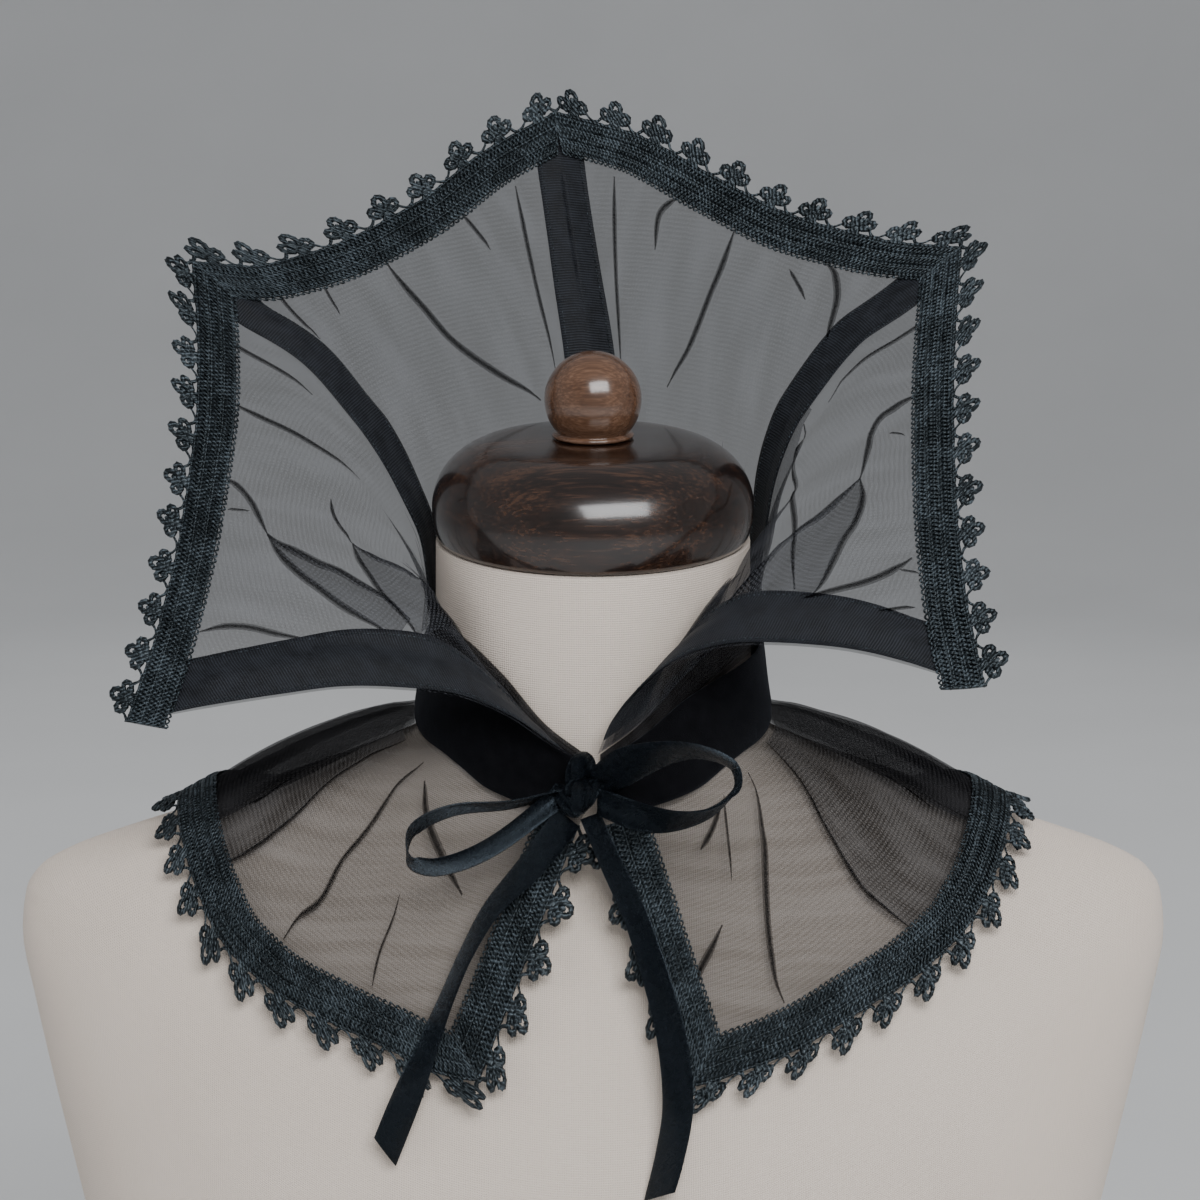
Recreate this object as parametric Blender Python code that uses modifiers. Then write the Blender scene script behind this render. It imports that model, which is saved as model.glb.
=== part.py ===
"""A detachable standing collar of sheer cloth with a lace edge, on a limbless dress form.

Five boned ribbons hold four sheer panels up around the neck of the form. A neck band carries
them, a short cape hangs from the band onto the shoulders, and a ribbon bow ties the front.

Millimetres are used in the tables and turned into metres by MM. X runs to the viewer's right,
Y away from the viewer and Z up, with the origin in the middle of the form's flat base.
"Drop" is a depth below the top of the neck, "out" a distance off the surface beneath.
Round the neck, angle 0 is the front and 90 the viewer's right.
"""

from collections import namedtuple
from math import asin, copysign, cos, exp, pi, radians, sin, tan

import bmesh
import bpy
from mathutils import Matrix, Vector

MM = 0.001
SLOPE_STEP = 0.004        # share of a surface over which its slope is read
INWARD_STEPS = 3          # steps from a sheet's edge in to the lace's other side

# Driving sizes, in millimetres
NECK_TOP = 440.0          # height of the neck's top above the floor
NECK_TILT = radians(6.0)  # the neck's top faces a little forward
TILT_FADES_BY = 62.0      # drop where the neck's slices are level again
SEAM_GAP = 0.3            # clearance kept between touching pieces
CLOTH = 1.0               # wall of the sheer cloth and the ribbons
VELVET = 2.0              # wall of the neck band
LACE = 1.2                # wall of the lace
RIBBON_WIDTH = 19.5       # ribbon over each bone
RIBBON_LIFT = 0.5         # off the sheer cloth, whose flat facets cut its curves
RIBBON_SHORT = 0.9        # gap from a ribbon's end to the lace
BOW_WIDTH = 10.0          # ribbon of the bow
LACE_BAND = 13.5          # woven part of the lace, that lies on the sheer cloth
LACE_REPEAT = 16.4        # one three-lobed leaf of the lace
LACE_PARTING = 1.4        # slit where two lengths of lace meet
LACE_LIFT = 0.6
CAPE_LACE_LIFT = 1.5
LACE_CLEAR = 1.0          # lace off the form
CAP_RADIUS = 53.0         # underside of the wooden neck cap
KNOB_RADIUS = 16.6

# Slices of the dress form, from the neck's top down
Slice = namedtuple("Slice", "drop half_width front back power")
FORM = (
    Slice(0.0, 54.0, 54.0, 54.0, 2.0),
    Slice(20.0, 54.2, 53.8, 55.5, 2.0),
    Slice(40.0, 54.6, 53.4, 58.0, 2.0),
    Slice(56.0, 55.6, 53.0, 61.5, 2.0),
    Slice(62.0, 57.6, 53.0, 63.5, 1.95),
    Slice(66.0, 61.5, 53.0, 65.0, 1.88),
    Slice(70.0, 71.0, 53.0, 66.5, 1.75),
    Slice(77.5, 92.0, 53.0, 69.5, 1.62),
    Slice(85.5, 116.0, 53.2, 73.0, 1.56),
    Slice(93.0, 136.0, 53.8, 76.0, 1.55),
    Slice(101.0, 161.0, 55.0, 79.5, 1.58),
    Slice(109.0, 183.0, 57.5, 83.0, 1.66),
    Slice(115.0, 193.0, 60.5, 85.0, 1.74),
    Slice(123.0, 198.0, 64.5, 87.5, 1.86),
    Slice(136.0, 199.5, 71.0, 91.5, 2.02),
    Slice(160.0, 195.0, 82.0, 96.5, 2.22),
    Slice(200.0, 185.5, 96.0, 101.0, 2.4),
    Slice(245.0, 174.0, 106.5, 101.5, 2.5),
    Slice(300.0, 158.0, 110.0, 96.0, 2.45),
    Slice(350.0, 143.0, 103.0, 88.0, 2.35),
    Slice(400.0, 131.0, 93.0, 80.5, 2.25),
    Slice(440.0, 127.0, 88.0, 78.0, 2.2),
)
NECK_ROWS_TO = 56.0       # below this drop the slices take in the shoulders
FORM_STEPS = 44           # points round a slice
SHOULDER_DROPS = (0.0, 199.0)
HALVINGS = 22             # to find a shoulder's height to a few millionths of its range

# Round the neck: seam of the standing collar, and both edges of the velvet band
Around = namedtuple("Around", "angle neckline band_top band_bottom")
NECK_LINES = (
    Around(0.0, 66.0, 68.5, 84.0),
    Around(15.0, 54.5, 58.5, 82.5),
    Around(33.0, 36.0, 45.0, 78.0),
    Around(48.0, 27.0, 39.5, 71.5),
    Around(65.0, 22.5, 36.5, 66.5),
    Around(90.0, 20.5, 33.5, 62.5),
    Around(135.0, 15.0, 27.0, 57.0),
    Around(180.0, 11.0, 22.0, 52.0),
)
FACING_OUT = 1.3          # sheer strip against the neck
FACING_DEPTH = 16.0
PANEL_OUT = 2.6           # inner face of the standing collar at its seam
BAND_OUT_TOP = 2.6
BAND_OUT_BOTTOM = 4.6
STRIP_CLEAR = 0.5         # both strips off the form's shoulders
FRONT_SLIT = 2.5          # half the opening at the front, in degrees of the band

# Lines of the five bones: across, depth, rise above the neck's top. The front ones are the panels'
# front edges, and the others run under the middle of their ribbons.
BONES = {
    "front_left": ((-5.8, -59.0, -64.7), (-14.0, -60.5, -60.0), (-27.1, -62.5, -50.6),
                   (-43.4, -64.5, -43.2), (-62.9, -66.0, -40.6), (-82.4, -67.0, -40.1),
                   (-102.0, -67.5, -42.6), (-128.0, -67.5, -46.8), (-152.0, -66.0, -51.5)),
    "back_left": ((-56.7, 8.0, -22.0), (-57.7, 8.5, -8.6), (-59.7, 9.5, 3.5), (-64.1, 10.5, 13.9),
                  (-73.8, 13.0, 32.0), (-83.5, 15.0, 46.4), (-101.0, 18.5, 66.0), (-125.0, 23.0, 81.5),
                  (-139.5, 26.0, 93.0)),
    "back": ((2.5, 58.9, -10.5), (1.5, 61.0, 20.0), (-1.2, 66.0, 57.8), (-6.3, 74.0, 89.7),
             (-12.0, 83.0, 127.1), (-13.8, 87.0, 144.3)),
    "back_right": ((57.2, 9.0, -21.5), (58.2, 10.0, -8.8), (60.0, 12.0, 4.9), (62.2, 14.0, 18.7),
                   (66.5, 16.0, 32.4), (73.0, 18.0, 46.1), (92.5, 24.0, 70.2), (107.0, 28.0, 80.5),
                   (129.0, 34.0, 97.5)),
    "front_right": ((1.5, -59.4, -63.5), (5.7, -61.0, -53.5), (15.5, -63.5, -41.0),
                    (25.2, -66.5, -32.6), (34.9, -69.5, -27.6), (47.7, -73.0, -24.6),
                    (73.0, -80.5, -24.2), (92.0, -86.0, -26.5), (124.5, -96.0, -34.4)),
}
# The four sheer panels between them, from the left front round the back: bones and angles at both
# ends, the way that the outer edge dips, its dip every fifth of the way, and the mesh's columns
Panel = namedtuple("Panel", "name start end start_angle end_angle dip_way dips columns")
PANELS = (
    Panel("organza_side_left", "front_left", "back_left", -6.0, -98.0, (0.96, -0.26, 0.08),
          (0.0, 6.8, 9.9, 10.2, 6.8, 0.0), 15),
    Panel("organza_back_left", "back_left", "back", -98.0, -182.5, (0.0, -0.16, -0.99),
          (0.0, 11.7, 14.6, 12.0, 3.4, 0.0), 14),
    Panel("organza_back_right", "back", "back_right", -182.5, -261.0, (0.0, -0.16, -0.99),
          (0.0, -1.6, 4.0, 8.5, 6.7, 0.0), 14),
    Panel("organza_side_right", "back_right", "front_right", -261.0, -358.5, (-0.97, -0.22, 0.08),
          (0.0, 3.8, 6.2, 6.8, 5.2, 0.0), 15),
)
PANEL_ROWS = 10
PANEL_PARTING = 0.5       # from a bone's line to the cloth beside it
RIBBON_START = 0.03       # share of a bone below its ribbon
FRONT_RIBBON_START = 0.06
# Soft folds pressed into a panel: along and up at each end (0 to 1), width and depth
Fold = namedtuple("Fold", "s0 t0 s1 t1 width depth")
PANEL_FOLDS = {
    "organza_side_left": (Fold(0.46, 0.06, 0.55, 0.98, 9.0, -3.0), Fold(0.74, 0.05, 0.80, 0.60, 8.0, -2.4),
                          Fold(0.13, 0.10, 0.16, 0.96, 8.0, -1.8)),
    "organza_back_left": (Fold(0.60, 0.25, 0.30, 0.80, 8.0, -2.0), Fold(0.75, 0.20, 0.62, 0.98, 9.0, 2.0),
                          Fold(0.14, 0.45, 0.12, 0.98, 7.0, -2.2)),
    "organza_back_right": (Fold(0.30, 0.30, 0.32, 0.98, 9.0, -2.0), Fold(0.66, 0.25, 0.72, 0.98, 8.0, 2.2)),
    "organza_side_right": (Fold(0.42, 0.05, 0.36, 0.98, 10.0, -3.4), Fold(0.16, 0.05, 0.14, 0.62, 7.0, -2.2),
                           Fold(0.62, 0.05, 0.66, 0.97, 8.0, -2.4)),
}
FOLD_SPAN = (135.0, 125.0)  # a panel's usual size along and up, to measure folds by
FOLDS_END = 0.91            # share of the way up where the lace holds the cloth flat

# Hem of the cape on plan, from the left front corner round the back
Hem = namedtuple("Hem", "angle radius")
CAPE_HEM = (
    Hem(-23.5, 92.5), Hem(-31.0, 97.0), Hem(-40.0, 103.0), Hem(-50.0, 113.0), Hem(-60.0, 126.0),
    Hem(-68.0, 135.5), Hem(-77.0, 140.5), Hem(-90.0, 143.0), Hem(-110.0, 136.0), Hem(-135.0, 114.0),
    Hem(-160.0, 98.0), Hem(-180.0, 94.0), Hem(-200.0, 98.0), Hem(-225.0, 114.0), Hem(-250.0, 136.0),
    Hem(-270.0, 143.5), Hem(-283.0, 141.0), Hem(-291.0, 135.5), Hem(-299.0, 125.5), Hem(-309.0, 113.0),
    Hem(-320.0, 103.0), Hem(-330.0, 96.0), Hem(-339.5, 91.5),
)
CAPE_OUT = 4.8            # cape's seam off the neck
CAPE_BELOW_BAND = 2.6
CAPE_SEAM_CLEAR = 1.8     # clear of the form at the seam
CAPE_LIFT = 2.4           # clear of the form further out
CAPE_PUFF = 8.0           # how far it stands up over the shoulders and the back
PUFF_FROM = 35.0          # degrees from the front where it starts to stand up
PUFF_FULL_BY = 80.0
CAPE_COLUMNS = 80
CAPE_ROWS = 5
FRONT_LACE_START = 0.1    # share of the cape's front edge hidden by the bow
# Soft radial folds of the cape: where round it (0 to 1), width as a share, height in mm
Pleat = namedtuple("Pleat", "at width height")
CAPE_PLEATS = (
    Pleat(0.035, 0.016, 2.6), Pleat(0.085, 0.014, 2.2), Pleat(0.135, 0.018, 3.4), Pleat(0.185, 0.015, 2.4),
    Pleat(0.225, 0.013, 2.8), Pleat(0.275, 0.016, 4.0), Pleat(0.325, 0.015, 2.6), Pleat(0.375, 0.018, 3.2),
    Pleat(0.425, 0.015, 2.4), Pleat(0.470, 0.016, 3.0), Pleat(0.515, 0.015, 2.6), Pleat(0.560, 0.018, 3.4),
    Pleat(0.610, 0.015, 2.6), Pleat(0.655, 0.016, 3.0), Pleat(0.700, 0.016, 3.8), Pleat(0.745, 0.014, 4.2),
    Pleat(0.790, 0.015, 2.6), Pleat(0.830, 0.017, 3.2), Pleat(0.880, 0.015, 3.6), Pleat(0.925, 0.014, 2.4),
    Pleat(0.965, 0.016, 2.8),
)

# Half outline of one three-lobed leaf: share along it, height over the woven band
LEAF = ((0.0, 0.3), (0.17, 1.0), (0.20, 5.4), (0.33, 6.8), (0.42, 9.7))

# The bow: across, depth, rise of each ribbon's middle line
KNOT_AT = (-5.0, -65.6, -75.8)
KNOT_HALF = (7.2, 7.4, 8.4)
LOOP_LEFT = ((-11.2, -67.5, -74.6), (-27.0, -76.0, -76.5), (-46.0, -80.0, -77.5), (-58.5, -82.0, -84.0),
             (-59.0, -83.5, -93.5), (-50.0, -83.0, -96.0), (-33.0, -78.5, -90.5), (-11.5, -69.0, -76.3))
LOOP_RIGHT = ((1.3, -67.5, -71.9), (14.0, -76.0, -62.5), (31.0, -82.0, -58.0), (44.5, -85.5, -61.5),
              (46.0, -86.0, -69.0), (36.0, -84.0, -77.5), (19.0, -78.0, -80.5), (1.5, -68.8, -76.9))
# Its two tails: across, rise and distance in front of the form
TAIL_LEFT = ((-8.0, -82.9, 14.6), (-20.0, -98.0, 17.0), (-33.0, -112.0, 15.0), (-41.5, -126.0, 12.5),
             (-47.5, -139.0, 11.0), (-53.0, -152.0, 10.0), (-59.5, -168.0, 9.2), (-67.5, -188.0, 5.5))
TAIL_RIGHT = ((-0.6, -82.6, 12.6), (6.0, -97.0, 16.0), (14.0, -114.0, 14.0), (20.0, -131.0, 11.5),
              (24.5, -146.0, 10.5), (27.0, -160.0, 9.6), (27.5, -174.0, 8.4), (25.0, -188.0, 6.0),
              (21.5, -201.0, 4.4))
BOW_SAMPLES = 20

# Turned profiles: radius, height over the neck's top
CAP_PROFILE = ((0.0, 35.4), (15.0, 35.3), (30.0, 34.9), (37.5, 33.8), (43.6, 31.2), (48.8, 27.2),
               (52.6, 22.0), (54.8, 15.8), (55.2, 10.6), (54.6, 5.4), (CAP_RADIUS, 0.8), (52.0, 0.0),
               (0.0, 0.0))
KNOB_CENTRE = 48.6
KNOB_RING = ((12.4, 37.4), (13.6, 37.1), (14.1, 36.4), (13.6, 35.7), (0.0, 35.7))
TURNED_STEPS = 28
KNOB_ARC = 10


def clear_scene():
    for item in list(bpy.data.objects):
        bpy.data.objects.remove(item, do_unlink=True)


def collection(name):
    group = bpy.data.collections.new(name)
    bpy.context.scene.collection.children.link(group)
    return group


def material(name, colour, roughness, metallic=0.0):
    made = bpy.data.materials.new(name)
    made.use_nodes = True
    shader = made.node_tree.nodes["Principled BSDF"]
    shader.inputs["Base Color"].default_value = (*colour, 1.0)
    shader.inputs["Roughness"].default_value = roughness
    shader.inputs["Metallic"].default_value = metallic
    made.diffuse_color = (*colour, 1.0)
    return made


def smooth(rows, column, at):
    """Reads one column of a table smoothly, with no overshoot; the first column is the key."""
    keys = [row[0] for row in rows]
    values = [row[column] for row in rows]
    if at <= keys[0]:
        return values[0]
    if at >= keys[-1]:
        return values[-1]
    last = len(keys) - 2
    i = 0
    while i < last and at > keys[i + 1]:
        i += 1
    rises = [(values[k + 1] - values[k]) / (keys[k + 1] - keys[k]) for k in range(len(keys) - 1)]

    def slope(k):
        if k == 0 or k == len(keys) - 1:
            return rises[min(k, last)]
        before, after = rises[k - 1], rises[k]
        if before * after <= 0.0:
            return 0.0
        return 2.0 * before * after / (before + after)

    span = keys[i + 1] - keys[i]
    u = (at - keys[i]) / span
    return (values[i] * (1 + 2 * u) * (1 - u) ** 2 + values[i + 1] * u * u * (3 - 2 * u)
            + span * (slope(i) * u * (1 - u) ** 2 - slope(i + 1) * u * u * (1 - u)))


def curve_at(points, t):
    """A point at share t of a smooth curve through the points, spaced by their chords."""
    points = [Vector(p) for p in points]
    reach = [0.0]
    for a, b in zip(points, points[1:]):
        reach.append(reach[-1] + (b - a).length)
    at = t * reach[-1]
    i = 0
    while i < len(points) - 2 and at > reach[i + 1]:
        i += 1

    def tangent(k):
        low, high = max(k - 1, 0), min(k + 1, len(points) - 1)
        return (points[high] - points[low]) / (reach[high] - reach[low])

    span = reach[i + 1] - reach[i]
    u = (at - reach[i]) / span
    return (points[i] * ((1 + 2 * u) * (1 - u) ** 2) + points[i + 1] * (u * u * (3 - 2 * u))
            + (tangent(i) * (u * (1 - u) ** 2) - tangent(i + 1) * (u * u * (1 - u))) * span)


def form_point(angle, drop, out=0.0, neck_only=False):
    """A point of the dress form at a drop, or off it by out; the neck alone leaves out the shoulders."""
    read = min(drop, NECK_ROWS_TO) if neck_only else drop
    half, front, back, power = (smooth(FORM, column, read) for column in (1, 2, 3, 4))
    across, depth = sin(angle), -cos(angle)
    reach = front if depth < 0.0 else back
    x = copysign(abs(across) ** (2.0 / power), across) * (half + out)
    y = copysign(abs(depth) ** (2.0 / power), depth) * (reach + out)
    lean = tan(NECK_TILT) * max(0.0, 1.0 - drop / TILT_FADES_BY)
    return Vector((x, y, y * lean - drop))


def form_top(x, y):
    """How high the form reaches over a point on plan, found by halving the drop."""
    high, low = SHOULDER_DROPS
    for _ in range(HALVINGS):
        drop = (high + low) / 2.0
        half, front, back, power = (smooth(FORM, column, drop) for column in (1, 2, 3, 4))
        reach = front if y < 0.0 else back
        if (abs(x) / half) ** power + (abs(y) / reach) ** power < 1.0:
            low = drop
        else:
            high = drop
    return -low


def form_front(x, rise):
    """Depth of the form's front at a place across and a height."""
    half, front, _, power = (smooth(FORM, column, -rise) for column in (1, 2, 3, 4))
    return -front * max(0.0, 1.0 - (abs(x) / half) ** power) ** (1.0 / power)


def clear_of_form(point, gap):
    """Moves a point out along the form's slope until it is the gap away."""
    step = 1.5
    x, y = point.x, point.y
    top = form_top(x, y)
    slope_x = (form_top(x + step, y) - form_top(x - step, y)) / (2 * step)
    slope_y = (form_top(x, y + step) - form_top(x, y - step)) / (2 * step)
    normal = Vector((-slope_x, -slope_y, 1.0)).normalized()
    short = gap - (point.z - top) * normal.z
    return point + normal * short if short > 0.0 else point


def around(column, angle_degrees):
    """Reads the neck's table at an angle on either side, left and right alike."""
    turned = abs((angle_degrees + 180.0) % 360.0 - 180.0)
    return smooth(NECK_LINES, column, turned)


def neckline(angle_degrees):
    return form_point(radians(angle_degrees), around(1, angle_degrees), PANEL_OUT, neck_only=True)


def dip_at(dips, s):
    """How far an outer edge dips at a share along it, running on straight past both ends."""
    spans = len(dips) - 1
    inside = min(max(s, 0.0), 1.0)
    slope = (dips[1] - dips[0]) * spans if s < 0.5 else (dips[-1] - dips[-2]) * spans
    rows = [(k / spans, dip) for k, dip in enumerate(dips)]
    return smooth(rows, 1, inside) + slope * (s - inside)


def panel_surface(panel):
    """The inner face of one sheer panel, as a function of s along and t up, both 0 to 1."""
    start, end = BONES[panel.start], BONES[panel.end]
    corner_a, corner_b = curve_at(start, 1.0), curve_at(end, 1.0)
    dip_way = Vector(panel.dip_way)
    folds = PANEL_FOLDS[panel.name]

    def low_edge(s):
        point = neckline(panel.start_angle + (panel.end_angle - panel.start_angle) * s)
        shift_a = curve_at(start, 0.0) - neckline(panel.start_angle)
        shift_b = curve_at(end, 0.0) - neckline(panel.end_angle)
        return point + shift_a * (1 - s) + shift_b * s

    def high_edge(s):
        return corner_a.lerp(corner_b, s) + dip_way * dip_at(panel.dips, s)

    def flat(s, t):
        low_a, low_b = curve_at(start, 0.0), curve_at(end, 0.0)
        ruled = (low_edge(s) * (1 - t) + high_edge(s) * t
                 + curve_at(start, t) * (1 - s) + curve_at(end, t) * s)
        corners = ((low_a * (1 - s) + low_b * s) * (1 - t) + (corner_a * (1 - s) + corner_b * s) * t)
        return ruled - corners

    def point(s, t):
        base = flat(s, t)
        height = 0.0
        for fold in folds:
            height += fold.depth * fold_share(fold, s, t)
        return base + facing(flat, s, t) * height if height else base

    return point


def fold_share(fold, s, t):
    """How strongly a fold acts at a place of its panel: 1 on its line, fading across and at its ends."""
    wide, tall = FOLD_SPAN
    along = Vector(((fold.s1 - fold.s0) * wide, (fold.t1 - fold.t0) * tall))
    place = Vector(((s - fold.s0) * wide, (t - fold.t0) * tall))
    share = place.dot(along) / along.length_squared
    off = (place - along * min(max(share, 0.0), 1.0)).length
    fade = max(0.0, 1.0 - (2.0 * min(max(share, 0.0), 1.0) - 1.0) ** 4)
    edge = min(1.0, 6.0 * t, 7.0 * (FOLDS_END - t), 8.0 * s, 8.0 * (1.0 - s))
    return exp(-(off / fold.width) ** 2) * fade * max(0.0, edge)


def facing(surface, s, t, step=0.01):
    """Unit normal of a surface at s, t, on the side that the standing collar turns to the neck."""
    a, b = max(s - step, -0.2), min(s + step, 1.2)
    c, d = max(t - step, -0.2), min(t + step, 1.2)
    along = surface(b, t) - surface(a, t)
    up = surface(s, d) - surface(s, c)
    return along.cross(up).normalized()


def cape_surface():
    """The cape's outer face as a function of s from the left front round the back, and t down to the hem."""
    first, last = -1.5 * FRONT_SLIT, -360.0 + 1.5 * FRONT_SLIT
    shares = [(k / (len(CAPE_HEM) - 1), row.angle, row.radius) for k, row in enumerate(CAPE_HEM)]

    def point(s, t):
        angle = first + (last - first) * s
        seam = form_point(radians(angle), around(3, angle) + CAPE_BELOW_BAND, CAPE_OUT, neck_only=True)
        turn, radius = radians(smooth(shares, 1, s)), smooth(shares, 2, s)
        hem_x, hem_y = radius * sin(turn), -radius * cos(turn)
        hem = Vector((hem_x, hem_y, form_top(hem_x, hem_y) + CAPE_LIFT))
        low = seam.lerp(hem, t)
        lift = sum(p.height * exp(-((s - p.at) / p.width) ** 2) for p in CAPE_PLEATS)
        turned = abs((angle + 180.0) % 360.0 - 180.0)
        puff = CAPE_PUFF * min(1.0, max(0.0, (turned - PUFF_FROM) / (PUFF_FULL_BY - PUFF_FROM)))
        low.z += lift * min(1.0, 1.6 * t) * (1.0 - t * t) + puff * 4.0 * t * (1.0 - t) * min(1.0, 5.0 * t)
        return clear_of_form(low, min(CAPE_LIFT, CAPE_SEAM_CLEAR + 3.0 * t))

    return point


class Edge:
    """One edge of a surface, measured out evenly, with its outward way and its normal."""

    def __init__(self, surface, path, inside, face):
        self.surface, self.path, self.inside, self.face = surface, path, inside, face
        steps = 60
        self.reach = [0.0]
        before = surface(*path(0.0))
        for k in range(1, steps + 1):
            here = surface(*path(k / steps))
            self.reach.append(self.reach[-1] + (here - before).length)
            before = here
        self.length = self.reach[-1]

    def share(self, distance):
        """The path's parameter at a distance along the edge."""
        steps = len(self.reach) - 1
        k = 0
        while k < steps - 1 and self.reach[k + 1] < distance:
            k += 1
        return (k + (distance - self.reach[k]) / (self.reach[k + 1] - self.reach[k])) / steps

    def place(self, distance, width, lift):
        """A point at a distance along, a width outward (inward if negative) and a lift off the face."""
        within = min(max(distance, 0.0), self.length)
        q = self.share(within)
        s, t = self.path(q)
        along_s, along_t = slopes(self.surface, s, t)
        normal = along_s.cross(along_t).normalized() * self.face
        middle = min(max(q, SLOPE_STEP), 1.0 - SLOPE_STEP)
        ahead = self.surface(*self.path(middle + SLOPE_STEP)) - self.surface(*self.path(middle - SLOPE_STEP))
        here = self.surface(s, t) + ahead.normalized() * (distance - within)
        outward = ahead.cross(normal).normalized()
        if outward.dot(self.surface(s, t) - self.surface(*self.inside(q))) < 0.0:
            outward = -outward
        if width >= 0.0:
            return here + outward * width + normal * lift
        for _ in range(INWARD_STEPS):
            along_s, along_t = slopes(self.surface, s, t)
            ss, st, tt = along_s.dot(along_s), along_s.dot(along_t), along_t.dot(along_t)
            rs = along_s.dot(outward) * width / INWARD_STEPS
            rt = along_t.dot(outward) * width / INWARD_STEPS
            flat = ss * tt - st * st
            s, t = s + (rs * tt - rt * st) / flat, t + (rt * ss - rs * st) / flat
        return self.surface(s, t) + normal * lift


def slopes(surface, s, t):
    """How a surface runs along s and along t, measured inside its edges."""
    step = SLOPE_STEP
    s, t = min(max(s, step), 1.0 - step), min(max(t, step), 1.0 - step)
    return ((surface(s + step, t) - surface(s - step, t)) / (2 * step),
            (surface(s, t + step) - surface(s, t - step)) / (2 * step))


def new_object(name, mesh, look, group):
    made = bpy.data.objects.new(name, mesh)
    made.data.materials.append(look)
    group.objects.link(made)
    return made


def grid_mesh(name, rows):
    """An open surface from rows of points in millimetres above the neck's top."""
    mesh = bpy.data.meshes.new(name)
    wide = len(rows[0])
    points = [to_metres(p) for row in rows for p in row]
    faces = []
    for i in range(len(rows) - 1):
        for j in range(wide - 1):
            a = i * wide + j
            faces.append((a, a + 1, a + wide + 1, a + wide))
    mesh.from_pydata(points, [], faces)
    return mesh


def to_metres(point):
    return (point[0] * MM, point[1] * MM, (point[2] + NECK_TOP) * MM)


def add_wall(made, thickness, side):
    """Gives a surface its thickness: side 1 grows along the face normals and -1 against them."""
    wall = made.modifiers.new("wall", "SOLIDIFY")
    wall.thickness = thickness * MM
    wall.offset = side
    wall.use_even_offset = False
    return made


def make_form(look, group):
    drops = [row.drop for row in FORM]
    fine = []
    for a, b in zip(drops, drops[1:]):
        fine += [a, (a + b) / 2.0] if b - a > 26.0 else [a]
    fine.append(drops[-1])
    mesh = bpy.data.meshes.new("form_body")
    shape = bmesh.new()
    rings = []
    for drop in fine:
        ring = []
        for k in range(FORM_STEPS):
            point = form_point(2.0 * pi * k / FORM_STEPS, drop)
            ring.append(shape.verts.new(to_metres(point)))
        rings.append(ring)
    for upper, lower in zip(rings, rings[1:]):
        for k in range(FORM_STEPS):
            n = (k + 1) % FORM_STEPS
            shape.faces.new((upper[k], upper[n], lower[n], lower[k]))
    shape.faces.new(rings[0])
    shape.faces.new(list(reversed(rings[-1])))
    bmesh.ops.recalc_face_normals(shape, faces=shape.faces)
    for face in shape.faces:
        face.smooth = len(face.verts) == 4
    shape.to_mesh(mesh)
    shape.free()
    return new_object("form_body", mesh, look, group)


def make_turned(name, profile, look, group):
    """A profile turned round the neck's leaning axis, top to bottom down its outer side."""
    mesh = bpy.data.meshes.new(name)
    points = [(radius * MM, 0.0, height * MM) for radius, height in profile]
    mesh.from_pydata(points, [(k, k + 1) for k in range(len(points) - 1)], [])
    made = new_object(name, mesh, look, group)
    made.location = (0.0, 0.0, (NECK_TOP + SEAM_GAP) * MM)
    made.rotation_euler = (NECK_TILT, 0.0, 0.0)
    turn = made.modifiers.new("turn", "SCREW")
    turn.steps = turn.render_steps = TURNED_STEPS
    turn.use_merge_vertices = True
    turn.merge_threshold = 0.00001
    turn.use_smooth_shade = True
    return made


def knob_profile():
    """A ball cut off near its foot, on a narrow turned ring."""
    ring_radius, ring_height = KNOB_RING[0]
    last = pi - asin(ring_radius / KNOB_RADIUS)
    arc = [(KNOB_RADIUS * sin(last * k / KNOB_ARC), KNOB_CENTRE + KNOB_RADIUS * cos(last * k / KNOB_ARC))
           for k in range(KNOB_ARC)]
    return [point for point in arc if point[1] > ring_height] + list(KNOB_RING)


def make_neck_strip(name, column_top, depth, outs, wall, look, group, columns=52):
    """A strip round the neck from the left front to the right front."""
    first, last = -FRONT_SLIT, -360.0 + FRONT_SLIT
    rows = [[], [], []]
    for k in range(columns + 1):
        angle = first + (last - first) * k / columns
        top = around(column_top, angle) + SEAM_GAP
        bottom = top + depth if depth else around(3, angle)
        for i, row in enumerate(rows):
            share = i / 2.0
            drop, out = top + (bottom - top) * share, outs[0] + (outs[1] - outs[0]) * share
            point = form_point(radians(angle), drop, out, neck_only=True)
            row.append(clear_of_form(point, STRIP_CLEAR))
    return add_wall(new_object(name, grid_mesh(name, rows), look, group), wall, 1)


def make_panel(panel, surface, look, group):
    rows = [[surface(j / panel.columns, i / PANEL_ROWS) for j in range(panel.columns + 1)]
            for i in range(PANEL_ROWS + 1)]
    for row in rows:
        row[0] = row[0] + (row[1] - row[0]).normalized() * PANEL_PARTING
        row[-1] = row[-1] + (row[-2] - row[-1]).normalized() * PANEL_PARTING
    made = new_object(panel.name, grid_mesh(panel.name, rows), look, group)
    return add_wall(made, CLOTH, -1)


def beside(surface, s, t, away, distance):
    """A point of a panel at a distance from its side s, measured along it; away is 1 or -1."""
    step = 0.01
    rate = (surface(s + step, t) - surface(s - step, t)).length / (2 * step)
    return s + away * distance / rate


def line_length(line, steps=40):
    points = [line(k / steps) for k in range(steps + 1)]
    return sum((b - a).length for a, b in zip(points, points[1:]))


def lace_inset(surface, s, away, distance):
    """How far below a bone's tip the lace begins, at a distance beside the bone."""
    tip = surface(s, 1.0)
    down = surface(s, 0.9) - tip
    angle = down.angle(surface(s + away * 0.1, 1.0) - tip)
    return (LACE_BAND + RIBBON_SHORT + distance * cos(angle)) / sin(angle)


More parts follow.
